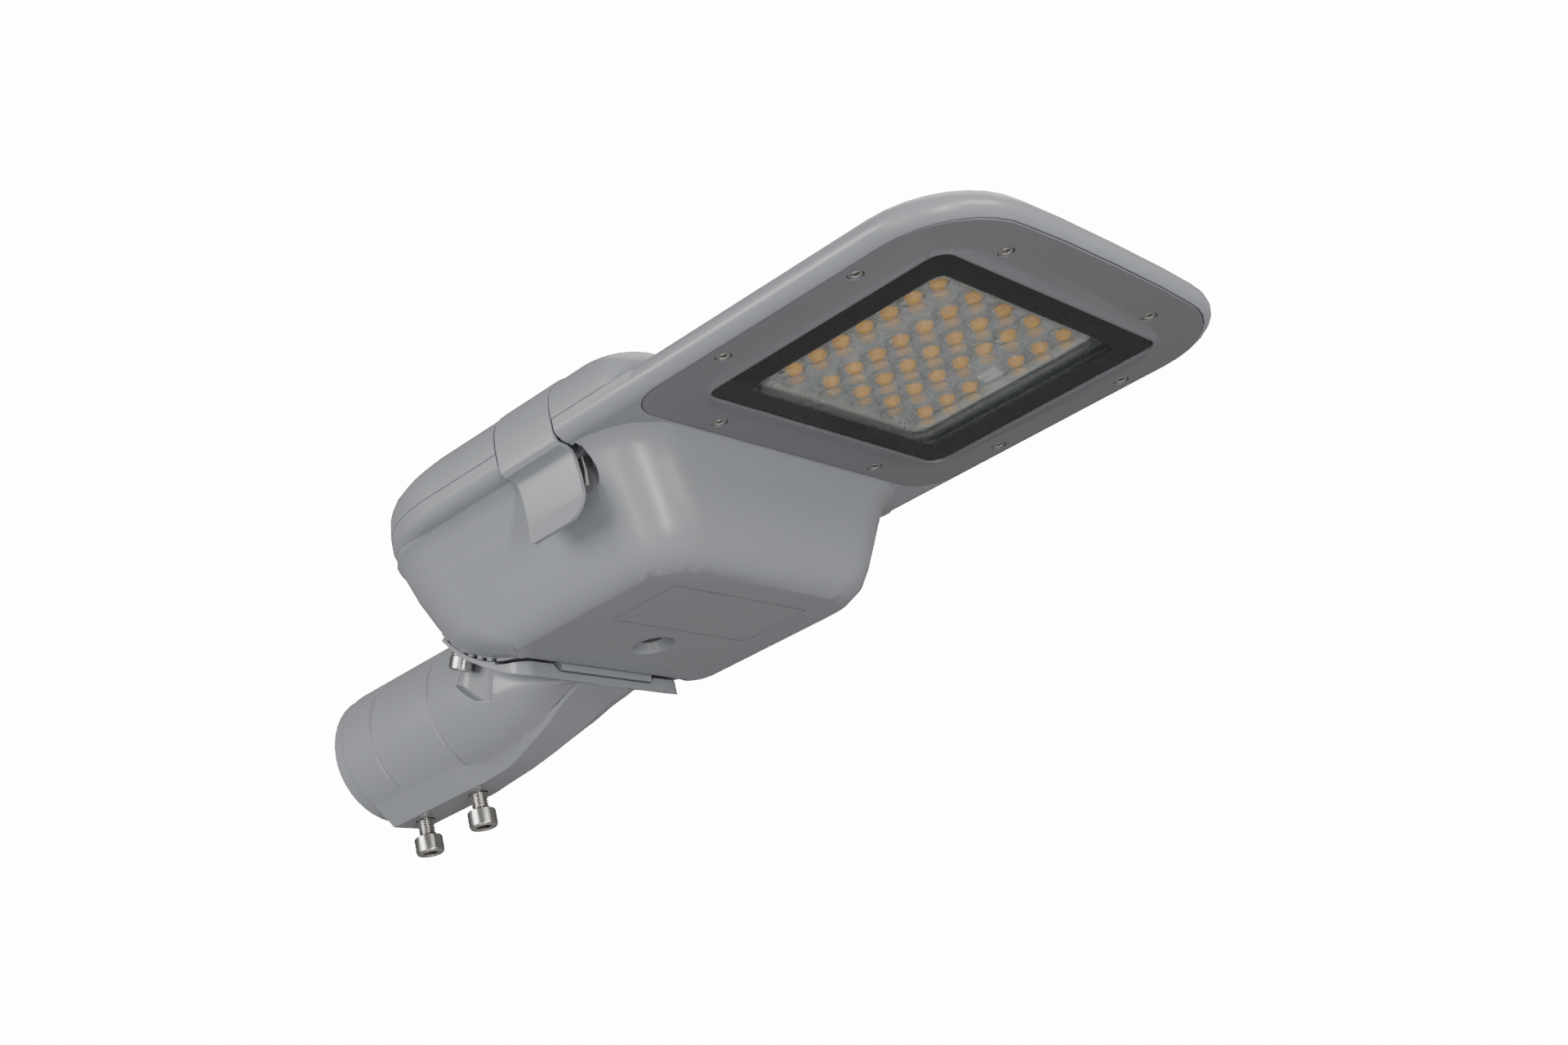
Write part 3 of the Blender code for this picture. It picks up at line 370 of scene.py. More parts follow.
FINISHES = {
    "casting": Finish(
        name="grey_powder_coat",
        slot=Slot.GREY_PAINT,
        base=(0.255, 0.265, 0.28),
        shade=(0.235, 0.245, 0.262),
        worn=(0.40, 0.41, 0.42),
        effect="casting_skin",
        drift="Tone",
        settings={"Coat Weight": 0.12, "Coat Roughness": 0.22, "Specular IOR Level": 0.5},
        effect_values={"Peel per metre": 620.0, "Peel depth": 0.07, "Edge radius": 0.0010},
        roughness=(0.30, 0.38),
        wear=0.35,
    ),
    "frame": Finish(
        name="dark_powder_coat",
        slot=Slot.FRAME_PAINT,
        base=(0.172, 0.170, 0.184),
        shade=(0.158, 0.157, 0.171),
        worn=(0.30, 0.30, 0.32),
        effect="casting_skin",
        drift="Tone",
        settings={"Coat Weight": 0.08, "Coat Roughness": 0.3, "Specular IOR Level": 0.5},
        effect_values={"Peel per metre": 700.0, "Peel depth": 0.10, "Edge radius": 0.0006},
        roughness=(0.40, 0.48),
        wear=0.25,
    ),
    "steel": Finish(
        name="stainless_steel",
        slot=Slot.STEEL,
        base=(0.60, 0.58, 0.55),
        shade=(0.50, 0.48, 0.455),
        worn=(0.85, 0.84, 0.82),
        effect="metal_lay",
        drift="Tarnish",
        settings={"Metallic": 1.0},
        effect_values={"Lay per metre": 2400.0, "Lay depth": 0.04, "Edge radius": 0.00018},
        roughness=(0.20, 0.30),
        wear=0.35,
    ),
    "zinc": Finish(
        name="zinc_plate",
        slot=Slot.ZINC,
        base=(0.55, 0.57, 0.60),
        shade=(0.42, 0.44, 0.46),
        worn=(0.75, 0.76, 0.78),
        effect="metal_lay",
        drift="Tarnish",
        settings={"Metallic": 1.0},
        effect_values={"Lay per metre": 900.0, "Lay depth": 0.25, "Edge radius": 0.0004},
        roughness=(0.34, 0.5),
        wear=0.5,
    ),
    "rubber": Finish(
        name="black_rubber",
        slot=Slot.RUBBER,
        base=(0.018, 0.018, 0.019),
        shade=(0.034, 0.033, 0.032),
        worn=(0.06, 0.06, 0.06),
        effect="moulded_grain",
        drift="Dust",
        settings={"Specular IOR Level": 0.3},
        effect_values={"Grain per metre": 2200.0, "Grain depth": 0.3, "Edge radius": 0.0004},
        roughness=(0.62, 0.8),
        wear=0.3,
    ),
    "white_plastic": Finish(
        name="white_plastic",
        slot=Slot.WHITE_PLASTIC,
        base=(0.72, 0.72, 0.69),
        shade=(0.62, 0.62, 0.59),
        worn=(0.8, 0.8, 0.78),
        effect="moulded_grain",
        drift="Dust",
        settings={"Specular IOR Level": 0.45},
        effect_values={"Grain per metre": 2600.0, "Grain depth": 0.2, "Edge radius": 0.0006},
        roughness=(0.38, 0.5),
        wear=0.3,
    ),
    "black_plastic": Finish(
        name="black_plastic",
        slot=Slot.BLACK_PLASTIC,
        base=(0.03, 0.03, 0.032),
        shade=(0.05, 0.05, 0.05),
        worn=(0.1, 0.1, 0.1),
        effect="moulded_grain",
        drift="Dust",
        settings={"Specular IOR Level": 0.45},
        effect_values={"Grain per metre": 2600.0, "Grain depth": 0.25, "Edge radius": 0.0006},
        roughness=(0.36, 0.52),
        wear=0.3,
    ),
    "board": Finish(
        name="white_solder_mask",
        slot=Slot.BOARD,
        base=(0.74, 0.77, 0.80),
        shade=(0.66, 0.69, 0.72),
        worn=(0.85, 0.86, 0.86),
        effect="moulded_grain",
        drift="Dust",
        settings={"Specular IOR Level": 0.5},
        effect_values={"Grain per metre": 1800.0, "Grain depth": 0.1, "Edge radius": 0.0003},
        roughness=(0.3, 0.42),
        wear=0.2,
    ),
    # Yellow phosphor of the unlit lights; its weak emission is painted glow, not light from the lights.
    "phosphor": Finish(
        name="led_phosphor_painted_glow",
        slot=Slot.BOARD,
        base=(0.95, 0.47, 0.0),
        shade=(0.88, 0.40, 0.0),
        worn=(1.0, 0.58, 0.02),
        effect="moulded_grain",
        drift="Dust",
        settings={
            "Specular IOR Level": 0.5,
            "Emission Color": (1.0, 0.48, 0.0, 1.0),
            "Emission Strength": 0.22,
        },
        effect_values={"Grain per metre": 3000.0, "Grain depth": 0.1, "Edge radius": 0.0002},
        roughness=(0.25, 0.4),
        wear=0.3,
    ),
    "enamel": Finish(
        name="black_enamel",
        slot=Slot.GLASS,
        base=(0.008, 0.008, 0.009),
        shade=(0.013, 0.013, 0.014),
        worn=(0.02, 0.02, 0.02),
        effect="moulded_grain",
        drift="Dust",
        settings={"Specular IOR Level": 0.5},
        effect_values={"Grain per metre": 1500.0, "Grain depth": 0.0, "Edge radius": 0.0},
        roughness=(0.12, 0.2),
        wear=0.0,
    ),
    "glass": Finish(
        name="clear_glass",
        slot=Slot.GLASS,
        base=(0.93, 0.96, 0.95),
        shade=(0.90, 0.94, 0.93),
        worn=(0.95, 0.98, 0.97),
        effect="moulded_grain",
        drift="Dust",
        settings={"Transmission Weight": 1.0, "IOR": 1.46, "Alpha": 0.30},
        effect_values={"Grain per metre": 60.0, "Grain depth": 0.0, "Edge radius": 0.0001},
        roughness=(0.0, 0.02),
        wear=0.0,
    ),
    "lens": Finish(
        name="clear_acrylic",
        slot=Slot.ACRYLIC,
        base=(0.97, 0.98, 0.98),
        shade=(0.94, 0.96, 0.96),
        worn=(0.98, 0.98, 0.98),
        effect="moulded_grain",
        drift="Dust",
        settings={"Transmission Weight": 1.0, "IOR": 1.45, "Alpha": 0.75},
        effect_values={"Grain per metre": 90.0, "Grain depth": 0.0, "Edge radius": 0.0001},
        roughness=(0.0, 0.03),
        wear=0.0,
    ),
    # Dark grey ring at each lens's foot: painted shade that stands in for the dark outline the clear domes
    # show by refraction.
    "foot": Finish(
        name="dark_acrylic_painted_refraction_shade",
        slot=Slot.ACRYLIC,
        base=(0.30, 0.32, 0.34),
        shade=(0.24, 0.26, 0.28),
        worn=(0.6, 0.62, 0.64),
        effect="moulded_grain",
        drift="Dust",
        settings={"Specular IOR Level": 0.6},
        effect_values={"Grain per metre": 900.0, "Grain depth": 0.02, "Edge radius": 0.0001},
        roughness=(0.1, 0.2),
        wear=0.4,
    ),
    "rim": Finish(
        name="milky_acrylic",
        slot=Slot.ACRYLIC,
        base=(0.74, 0.76, 0.73),
        shade=(0.66, 0.68, 0.65),
        worn=(0.85, 0.86, 0.84),
        effect="moulded_grain",
        drift="Dust",
        settings={"Transmission Weight": 0.45, "IOR": 1.45},
        effect_values={"Grain per metre": 400.0, "Grain depth": 0.06, "Edge radius": 0.0005},
        roughness=(0.18, 0.3),
        wear=0.2,
    ),
}


@dataclass
class Workshop:
    """Builds finishes once and gives pieces their finish, body and node."""

    effects: SurfaceEffects = field(default_factory=SurfaceEffects)
    materials: dict[str, bpy.types.Material] = field(default_factory=dict)

    def material(self, finish: str) -> bpy.types.Material:
        """Returns the finish's material, built at its first use."""
        if finish not in self.materials:
            self.materials[finish] = FINISHES[finish].build(self.effects)
        return self.materials[finish]

    def coat(self, piece: bpy.types.Object, finish: str) -> None:
        """Puts one finish over a whole piece."""
        piece.data.materials.clear()
        piece.data.materials.append(self.material(finish))

    def place(self, piece: bpy.types.Object, finish: str, body: str, *nodes: str) -> bpy.types.Object:
        """Coats a new piece, rides it on its body and lets it stand for CAD nodes.

        Args:
            piece: the new piece.
            finish: the finish's name.
            body: the body that it moves with.
            *nodes: CAD nodes that it stands for.

        Returns:
            The piece.
        """
        self.coat(piece, finish)
        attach(piece, body)
        for node in nodes:
            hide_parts(node)
        LOG.info("%s: %d faces, %s", piece.name, len(piece.data.polygons), finish)
        return piece

    def dress(self, node: str, finish: str) -> None:
        """Gives a CAD node that stays a better material."""
        kept = frame["nodes"][node]
        for place in kept.material_slots:
            place.material = self.material(finish)
        LOG.info("%s: kept, %s", node, finish)

    def smooth_copy(self, node: str, finish: str, sharp_degrees: float = SHARP_DEGREES) -> bpy.types.Object:
        """Copies a CAD node with clean shading, so that curves run smooth into flats.

        Args:
            node: the CAD node.
            finish: the finish's name.
            sharp_degrees: edges that turn further than this stay sharp.

        Returns:
            The copy, which stands for the node.
        """
        source = frame["nodes"][node]
        points, faces = welded(source.data)
        mesh = bpy.data.meshes.new(f"{node}_skin")
        mesh.from_pydata(points, [], faces)
        mesh.update()
        piece = bpy.data.objects.new(f"{node}_skin", mesh)
        bpy.context.scene.collection.objects.link(piece)
        shade_by_angle(piece, sharp_degrees)
        return self.place(piece, finish, body_of(node), node)


def body_of(node: str) -> str:
    """Returns the body that a CAD node belongs to."""
    groups = frame["record"]["behaviour"]["bodies"]
    return next(body for body, members in groups.items() if node in members)


def welded(mesh: bpy.types.Mesh) -> tuple[list[Point], list[tuple[int, ...]]]:
    """Joins points that lie on one spot.

    Args:
        mesh: the mesh to read.

    Returns:
        Points and faces with no doubled points.
    """
    places: dict[tuple[int, int, int], int] = {}
    points: list[Point] = []
    number: list[int] = []
    for vert in mesh.vertices:
        key = tuple(round(c * 1e7) for c in vert.co)
        if key not in places:
            places[key] = len(points)
            points.append(tuple(vert.co))
        number.append(places[key])
    faces = []
    for polygon in mesh.polygons:
        corners = tuple(number[i] for i in polygon.vertices)
        if len(set(corners)) == len(corners):
            faces.append(corners)
    return points, faces


def shade_by_angle(piece: bpy.types.Object, sharp_degrees: float) -> None:
    """Shades a piece smooth, keeps its sharp edges, and lets flats lead the normals."""
    piece.data.shade_smooth()
    piece.data.set_sharp_from_angle(angle=math.radians(sharp_degrees))
    lead = piece.modifiers.new("flats_lead", "WEIGHTED_NORMAL")
    lead.mode = "FACE_AREA_WITH_ANGLE"
    lead.keep_sharp = True


# Mesh helpers --------------------------------------------------------------------------
def piece_from(bm: bmesh.types.BMesh, name: str, sharp_degrees: float = SHARP_DEGREES) -> bpy.types.Object:
    """Turns a bmesh into a piece in the scene.

    Args:
        bm: the mesh, in metres. It is freed.
        name: the piece's name.
        sharp_degrees: edges that turn further than this stay sharp.

    Returns:
        The piece.
    """
    bmesh.ops.recalc_face_normals(bm, faces=bm.faces)
    mesh = bpy.data.meshes.new(name)
    bm.to_mesh(mesh)
    bm.free()
    piece = bpy.data.objects.new(name, mesh)
    bpy.context.scene.collection.objects.link(piece)
    shade_by_angle(piece, sharp_degrees)
    return piece


@dataclass(frozen=True)
class Plan:
    """A rectangle with rounded corners, symmetric across the long axis. Sizes are in mm."""

    front: float
    rear: float
    half: float
    corner: float

    def at(self, z: float, steps: int = 8) -> list[Point]:
        """Draws the outline at one height.

        Args:
            z: the height, in mm.
            steps: edges in each corner.

        Returns:
            Points in mm, in order.
        """
        corners = (
            (self.front - self.corner, self.corner - self.half, -90),
            (self.front - self.corner, self.half - self.corner, 0),
            (self.rear + self.corner, self.half - self.corner, 90),
            (self.rear + self.corner, self.corner - self.half, 180),
        )
        points = []
        for x, y, start in corners:
            for i in range(steps + 1):
                turn = math.radians(start + 90 * i / steps)
                points.append((x + self.corner * math.cos(turn), y + self.corner * math.sin(turn), z))
        return points

    def inset(self, by: float, corner_share: float) -> "Plan":
        """Draws the plan in on all sides.

        Args:
            by: how far, in mm.
            corner_share: how much of that the corner radius loses.

        Returns:
            The smaller plan.
        """
        return Plan(self.front - by, self.rear + by, self.half - by, self.corner - by * corner_share)


def add_loft(bm: bmesh.types.BMesh, sections: list[list[Point]], closed: bool = False) -> None:
    """Skins sections of equal length.

    Args:
        bm: the mesh to add to, in metres.
        sections: points in mm, section by section.
        closed: whether the last section joins the first, as in a rim.
    """
    rows = [[bm.verts.new(Vector(p) * MM) for p in section] for section in sections]
    pairs = list(zip(rows, rows[1:]))
    if closed:
        pairs.append((rows[-1], rows[0]))
    count = len(rows[0])
    for low, high in pairs:
        for i in range(count):
            j = (i + 1) % count
            bm.faces.new((low[i], low[j], high[j], high[i]))
    if not closed:
        bm.faces.new(rows[0][::-1])
        bm.faces.new(rows[-1])


def add_dome(
    bm: bmesh.types.BMesh, centre: Point, radii: Flat, drop: float, fullness: float, steps: int = 7
) -> None:
    """Adds a closed half dome that hangs down from a flat.

    Args:
        bm: the mesh to add to, in metres.
        centre: the middle of the dome's flat, in mm.
        radii: half lengths along x and y, in mm.
        drop: how far it hangs, in mm.
        fullness: below 1 the sides stand steeper.
        steps: rings from rim to tip.
    """
    sides = 24
    rows = []
    for level in range(steps):
        lift = math.radians(90 * level / steps)
        shrink = math.cos(lift) ** fullness
        ring = []
        for i in range(sides):
            turn = math.tau * i / sides
            x = centre[0] + radii[0] * shrink * math.cos(turn)
            y = centre[1] + radii[1] * shrink * math.sin(turn)
            ring.append(bm.verts.new(Vector((x, y, centre[2] - drop * math.sin(lift))) * MM))
        rows.append(ring)
    tip = bm.verts.new(Vector((centre[0], centre[1], centre[2] - drop)) * MM)
    for low, high in zip(rows, rows[1:]):
        for i in range(sides):
            j = (i + 1) % sides
            bm.faces.new((low[i], low[j], high[j], high[i]))
    for i in range(sides):
        bm.faces.new((rows[-1][i], rows[-1][(i + 1) % sides], tip))
    bm.faces.new(rows[0][::-1])


def add_block(bm: bmesh.types.BMesh, low: Point, high: Point, chamfer: float) -> None:
    """Adds a block with chamfered upright edges and a chamfered lower face.

    Args:
        bm: the mesh to add to, in metres.
        low: lowest corner, in mm.
        high: highest corner, in mm.
        chamfer: chamfer size, in mm.
    """
    def outline(inset: float, z: float) -> list[Point]:
        """Returns the block's outline at one height."""
        x0, x1, y0, y1 = low[0] + inset, high[0] - inset, low[1] + inset, high[1] - inset
        c = chamfer
        return [
            (x0 + c, y0, z), (x1 - c, y0, z), (x1, y0 + c, z), (x1, y1 - c, z),
            (x1 - c, y1, z), (x0 + c, y1, z), (x0, y1 - c, z), (x0, y0 + c, z),
        ]

    add_loft(bm, [outline(chamfer, low[2]), outline(0.0, low[2] + chamfer), outline(0.0, high[2])])


# Turned pieces -------------------------------------------------------------------------
@dataclass(frozen=True)
class Ring:
    """One ring of a turned piece: radius and height in mm, and its outline."""

    radius: float
    height: float
    outline: Outline = Outline.ROUND

    def reach(self, number: int, sides: int) -> float:
        """Finds how far the ring reaches in one direction.

        Args:
            number: which of the ring's points.
            sides: how many points the ring has.

        Returns:
            The distance from the axis, in mm.
        """
        turn = math.tau * number / sides
        if self.outline is Outline.KNURLED:
            return self.radius - (KNURL_DEPTH if number % 2 else 0.0)
        if self.outline is Outline.HEX:
            return self.radius * math.cos(math.pi / 6) / math.cos(turn % (math.pi / 3) - math.pi / 6)
        if self.outline is Outline.STAR:
            return self.radius * (1 + STAR_WAVE * math.cos(6 * turn))
        if self.outline is Outline.CROSS:
            return self.radius * (CROSS_CORE + (1 - CROSS_CORE) * abs(math.cos(2 * turn)) ** 6)
        if self.outline is Outline.THREAD:
            share = (self.height / THREAD_PITCH - turn / math.tau) % 1.0
            return self.radius - THREAD_DEPTH * min(1.0, abs(2 * share - 1) * THREAD_FLANK)
        return self.radius


STAR_SCREW = (
    Ring(1.2, 0.0), Ring(2.0, 0.6), Ring(2.0, 8.1), Ring(3.55, 8.1), Ring(3.6, 8.9), Ring(3.3, 9.2),
    Ring(2.9, 9.2), Ring(2.6, 8.9), Ring(2.35, 9.2), Ring(1.95, 9.15), Ring(1.7, 9.0, Outline.STAR),
    Ring(1.6, 7.7, Outline.STAR), Ring(0.4, 7.4),
)
CROSS_SCREW = (
    Ring(1.2, 0.0), Ring(1.2, 1.0), Ring(2.4, 1.0), Ring(2.45, 1.7), Ring(2.1, 2.2), Ring(1.7, 2.35),
    Ring(1.5, 2.35, Outline.CROSS), Ring(1.1, 1.5, Outline.CROSS), Ring(0.2, 1.2),
)


def turned_piece(
    name: str, rings: Sequence[Ring], foot: Point, ahead: Point, sides: int = 72
) -> bpy.types.Object:
    """Builds a closed piece from rings along an axis.

    Args:
        name: the piece's name.
        rings: the rings, from the first end to the last.
        foot: where height 0 lies, in mm.
        ahead: the axis direction.
        sides: points in each ring.

    Returns:
        The piece.
    """
    turn = Vector(ahead).to_track_quat("Z", "Y").to_matrix().to_4x4()
    base = Matrix.Translation(Vector(foot)) @ turn
    sections = []
    for ring in rings:
        section = []
        for i in range(sides):
            reach, angle = ring.reach(i, sides), math.tau * i / sides
            point = base @ Vector((reach * math.cos(angle), reach * math.sin(angle), ring.height))
            section.append(tuple(point))
        sections.append(section)
    bm = bmesh.new()
    add_loft(bm, sections)
    return piece_from(bm, name, TURNED_SHARP_DEGREES)


@dataclass(frozen=True)
class SocketScrew:
    """A stainless socket head screw: sizes in mm, height 0 at its tip."""

    shank_radius: float
    shank_length: float
    head_radius: float
    head_height: float
    hex_radius: float
    thread_from: float = 0.8

    def rings(self) -> list[Ring]:
        """Returns the screw's rings from tip to socket."""
        made = [Ring(self.shank_radius - 1.3, 0.0), Ring(self.shank_radius - 0.9, 0.5)]
        step = THREAD_PITCH / 6
        for i in range(int((self.shank_length - 0.6 - self.thread_from) / step)):
            made.append(Ring(self.shank_radius - 0.1, self.thread_from + i * step, Outline.THREAD))
        top, end, radius = self.shank_length, self.shank_length + self.head_height, self.head_radius
        made += [
            Ring(self.shank_radius - 0.2, top), Ring(radius - 0.6, top), Ring(radius - 0.15, top + 0.5),
            Ring(radius, top + 0.9, Outline.KNURLED), Ring(radius, end - 1.5, Outline.KNURLED),
            Ring(radius - 0.2, end - 1.1), Ring(radius - 0.45, end - 0.4), Ring(radius - 1.0, end),
            Ring(self.hex_radius + 0.9, end), Ring(self.hex_radius + 0.1, end - 0.5),
            Ring(self.hex_radius, end - 0.6, Outline.HEX), Ring(self.hex_radius, end - 5.0, Outline.HEX),
            Ring(self.hex_radius * 0.3, end - 5.6),
        ]
        return made


# Sub-assemblies ------------------------------------------------------------------------
@dataclass
class PoleSpigot:
    """The casting that slides over the pole, with its screws."""

    workshop: Workshop
    set_screw: SocketScrew = SocketScrew(5.0, 22.8, 8.0, 10.0, 4.2)
    tilt_bolt: SocketScrew = SocketScrew(4.0, 24.0, 6.5, 8.0, 3.1, 8.0)
    set_screw_x: Flat = (23.3, 68.5)
    set_screw_tip_z: float = -31.0
    tilt_seat: Point = (120.0, 43.2, 12.6)
    tilt_lean: float = 28.0

    def build(self) -> None:
        """Builds the casting, the set screws and the tilt bolts."""
        self.workshop.smooth_copy("spigot_casting", "casting")
        for word, x in zip(("rear", "front"), self.set_screw_x):
            tip = (x, 0.0, self.set_screw_tip_z)
            screw = turned_piece(f"pole_screw_{word}", self.set_screw.rings(), tip, DOWN)
            self.workshop.place(screw, "steel", f"set_screw_{word}", f"set_screw_{word}")
        lean = math.radians(self.tilt_lean)
        down = Vector((-math.sin(lean), 0.0, -math.cos(lean)))
        for word, side in (("left", 1), ("right", -1)):
            seat = Vector((self.tilt_seat[0], side * self.tilt_seat[1], self.tilt_seat[2]))
            foot = seat - down * self.tilt_bolt.shank_length
            screw = turned_piece(f"saddle_bolt_{word}", self.tilt_bolt.rings(), tuple(foot), tuple(down))
            self.workshop.place(screw, "steel", "lamp_head", f"tilt_bolt_{word}")
            self.workshop.smooth_copy(f"tilt_washer_{word}", "steel")


@dataclass
class LampBody:
    """The housing, its cover, seals, pins and the latch."""

    workshop: Workshop

    def build(self) -> None:
        """Dresses the castings and their small parts."""
        for node in ("housing", "cover", "latch"):
            self.workshop.smooth_copy(node, "casting")
        for node in ("latch_spring", "latch_pin", "cover_pin_rear", "cover_pin_front"):
            self.workshop.smooth_copy(node, "steel")
        self.workshop.dress("cover_gasket", "rubber")
        self.workshop.dress("cable_grommet", "rubber")
        self.workshop.smooth_copy("port_plug", "black_plastic")


@dataclass
class LightUnit:
    """The framed glass, the lens plate, the light board and their screws."""

    workshop: Workshop
    rows: tuple[float, ...] = (463.0, 448.6, 434.2, 419.8, 405.4, 391.0, 376.6)
    columns: tuple[float, ...] = (-52.0, -24.3, 0.0, 24.3, 52.0)
    empty_place: Flat = (419.8, 52.0)

    pane_face: Plan = Plan(491.7, 352.8, 90.6, 8.4)
    pane_window: Plan = Plan(492.1, 352.4, 91.0, 8.7)
    pane_flange: Plan = Plan(496.6, 347.0, 97.2, 9.6)
    pane_face_z: float = 44.35
    pane_arris_z: float = 44.75
    pane_ledge_z: Flat = (46.6, 46.61)
    pane_back_z: float = 50.4

    border_outer: Plan = Plan(491.6, 352.9, 90.5, 8.2)
    border_inner: Plan = Plan(478.6, 364.4, 73.4, 5.0)
    border_z: Flat = (44.8, 44.95)

    plate: Plan = Plan(471.0, 365.0, 62.0, 6.0)
    plate_z: Flat = (55.2, 55.8)
    dome_radii: Flat = (6.4, 7.0)
    dome_sink: float = 0.2
    dome_drop: float = 4.4
    dome_fullness: float = 0.8

    rim: Plan = Plan(475.0, 361.0, 66.0, 9.0)
    rim_corner_share: float = 0.6
    rim_sharp_degrees: float = 60.0
    rim_profile: tuple[Flat, ...] = (
        (0.0, 55.8), (0.0, 52.4), (0.5, 51.5), (1.5, 51.0), (3.0, 50.9), (4.2, 51.3), (4.9, 52.2),
        (5.3, 53.6), (5.4, 55.8),
    )

    # Ring at each lens's foot, coloured dark as painted shade for the domes' refracted outline.
    foot_profile: tuple[Flat, ...] = ((7.4, 55.15), (7.1, 54.5), (6.5, 54.5), (6.3, 55.15))
    foot_narrower: float = 0.5
    foot_sides: int = 28

    base_half: float = 2.6
    base_z: Flat = (55.3, 56.1)
    base_chamfer: float = 0.2
    phosphor_radius: float = 3.6
    phosphor_z: float = 55.35
    phosphor_drop: float = 3.3
    phosphor_fullness: float = 0.9
    phosphor_shift: float = 1.2

    plug_half: Flat = (5.5, 4.5)
    plug_gap_half: float = 0.5
    plug_z: Flat = (53.4, 55.6)
    plug_chamfer: float = 0.4

    frame_screws: tuple[Flat, ...] = ((505.1, 60.8), (459.0, 109.2), (381.5, 109.2), (334.7, 60.8))
    frame_screw_tip_z: float = 54.2
    lens_screws: tuple[Flat, ...] = ((445.0, 24.5), (445.0, -52.0), (373.0, 24.5), (373.0, -52.0))
    lens_screw_tip_z: float = 56.0
    small_screw_sides: int = 48

    def places(self) -> list[Flat]:
        """Returns where the lights sit."""
        return [(x, y) for x in self.rows for y in self.columns if (x, y) != self.empty_place]

    def build(self) -> None:
        """Builds the whole light unit."""
        self.workshop.smooth_copy("light_frame", "frame")
        self._glass_pane()
        self.workshop.dress("glass_gasket", "rubber")
        self.workshop.dress("led_board", "board")
        self._enamel_border()
        self._lens_plate()
        self._lens_rim()
        self._lens_rings_painted_shade()
        self._lights()
        self._connector()
        self._frame_screws()
        self._lens_screws()

    def _glass_pane(self) -> None:
        """Grinds the stepped pane that fills the frame's window almost flush."""
        ledge_low, ledge_high = self.pane_ledge_z
        sections = [
            self.pane_face.at(self.pane_face_z), self.pane_window.at(self.pane_arris_z),
            self.pane_window.at(ledge_low), self.pane_flange.at(ledge_high),
            self.pane_flange.at(self.pane_back_z),
        ]
        bm = bmesh.new()
        add_loft(bm, sections)
        self.workshop.place(piece_from(bm, "glass_pane"), "glass", "lamp_head", "glass_cover")

    def _enamel_border(self) -> None:
        """Prints the black border just inside the pane's face."""
        low, high = self.border_z
        outer, inner = self.border_outer, self.border_inner
        bm = bmesh.new()
        add_loft(bm, [outer.at(low), inner.at(low), inner.at(high), outer.at(high)], closed=True)
        self.workshop.place(piece_from(bm, "glass_border"), "enamel", "lamp_head")

    def _lens_plate(self) -> None:
        """Moulds the clear plate with one lens over each light."""
        bm = bmesh.new()
        add_loft(bm, [self.plate.at(z) for z in self.plate_z])
        root = self.plate_z[0] + self.dome_sink
        for x, y in self.places():
            add_dome(bm, (x, y, root), self.dome_radii, self.dome_drop, self.dome_fullness)
        self.workshop.place(piece_from(bm, "lens_plate_clear"), "lens", "lamp_head", "lens_plate")

    def _lens_rim(self) -> None:
        """Moulds the milky rim round the lens plate."""
        bm = bmesh.new()
        profile = self.rim_profile
        add_loft(bm, [self.rim.inset(by, self.rim_corner_share).at(z) for by, z in profile], closed=True)
        self.workshop.place(piece_from(bm, "lens_plate_rim", self.rim_sharp_degrees), "rim", "lamp_head")

    def _lens_rings_painted_shade(self) -> None:
        """Moulds a ring at the foot of each lens, dark grey as painted shade for the dark outline that the
        clear domes show by refraction.
        """
        bm = bmesh.new()
        turns = [math.tau * i / self.foot_sides for i in range(self.foot_sides)]
        for x, y in self.places():
            sections = []
            for radius, z in self.foot_profile:
                across = radius - self.foot_narrower
                sections.append([(x + across * math.cos(t), y + radius * math.sin(t), z) for t in turns])
            add_loft(bm, sections, closed=True)
        self.workshop.place(piece_from(bm, "lens_rings_painted_shade"), "foot", "lamp_head")

    def _lights(self) -> None:
        """Sets a light package behind each lens."""
        domes, bases = bmesh.new(), bmesh.new()
        half, (low, high) = self.base_half, self.base_z
        radii = (self.phosphor_radius, self.phosphor_radius)
        for x, y in self.places():
            add_block(bases, (x - half, y - half, low), (x + half, y + half, high), self.base_chamfer)
            root = (x + self.phosphor_shift, y, self.phosphor_z)
            add_dome(domes, root, radii, self.phosphor_drop, self.phosphor_fullness, 5)
        self.workshop.place(piece_from(bases, "light_bases"), "board", "lamp_head")
        # The phosphor domes carry a weak painted glow.
        self.workshop.place(piece_from(domes, "light_phosphor"), "phosphor", "lamp_head")

    def _connector(self) -> None:
        """Sets the two-part plug in the place that has no light."""
        x, y = self.empty_place
        half_x, half_y = self.plug_half
        low, high = self.plug_z
        bm = bmesh.new()
        for near, far in ((-half_y, -self.plug_gap_half), (self.plug_gap_half, half_y)):
            add_block(bm, (x - half_x, y + near, low), (x + half_x, y + far, high), self.plug_chamfer)
        self.workshop.place(piece_from(bm, "board_connector"), "white_plastic", "lamp_head")

    def _frame_screws(self) -> None:
        """Turns the star screws that hold the frame."""
        number = 0
        for side in (-1, 1):
            for x, y in self.frame_screws:
                number += 1
                tip = (x, side * y, self.frame_screw_tip_z)
                screw = turned_piece(f"star_screw_{number}", STAR_SCREW, tip, DOWN, self.small_screw_sides)
                self.workshop.place(screw, "steel", "lamp_head", f"frame_screw_{number}")

    def _lens_screws(self) -> None:
        """Turns the cross screws that hold the lens plate."""
        for number, (x, y) in enumerate(self.lens_screws, 1):
            tip = (x, y, self.lens_screw_tip_z)
            screw = turned_piece(f"cross_screw_{number}", CROSS_SCREW, tip, DOWN, self.small_screw_sides)
            self.workshop.place(screw, "steel", "lamp_head", f"lens_screw_{number}")


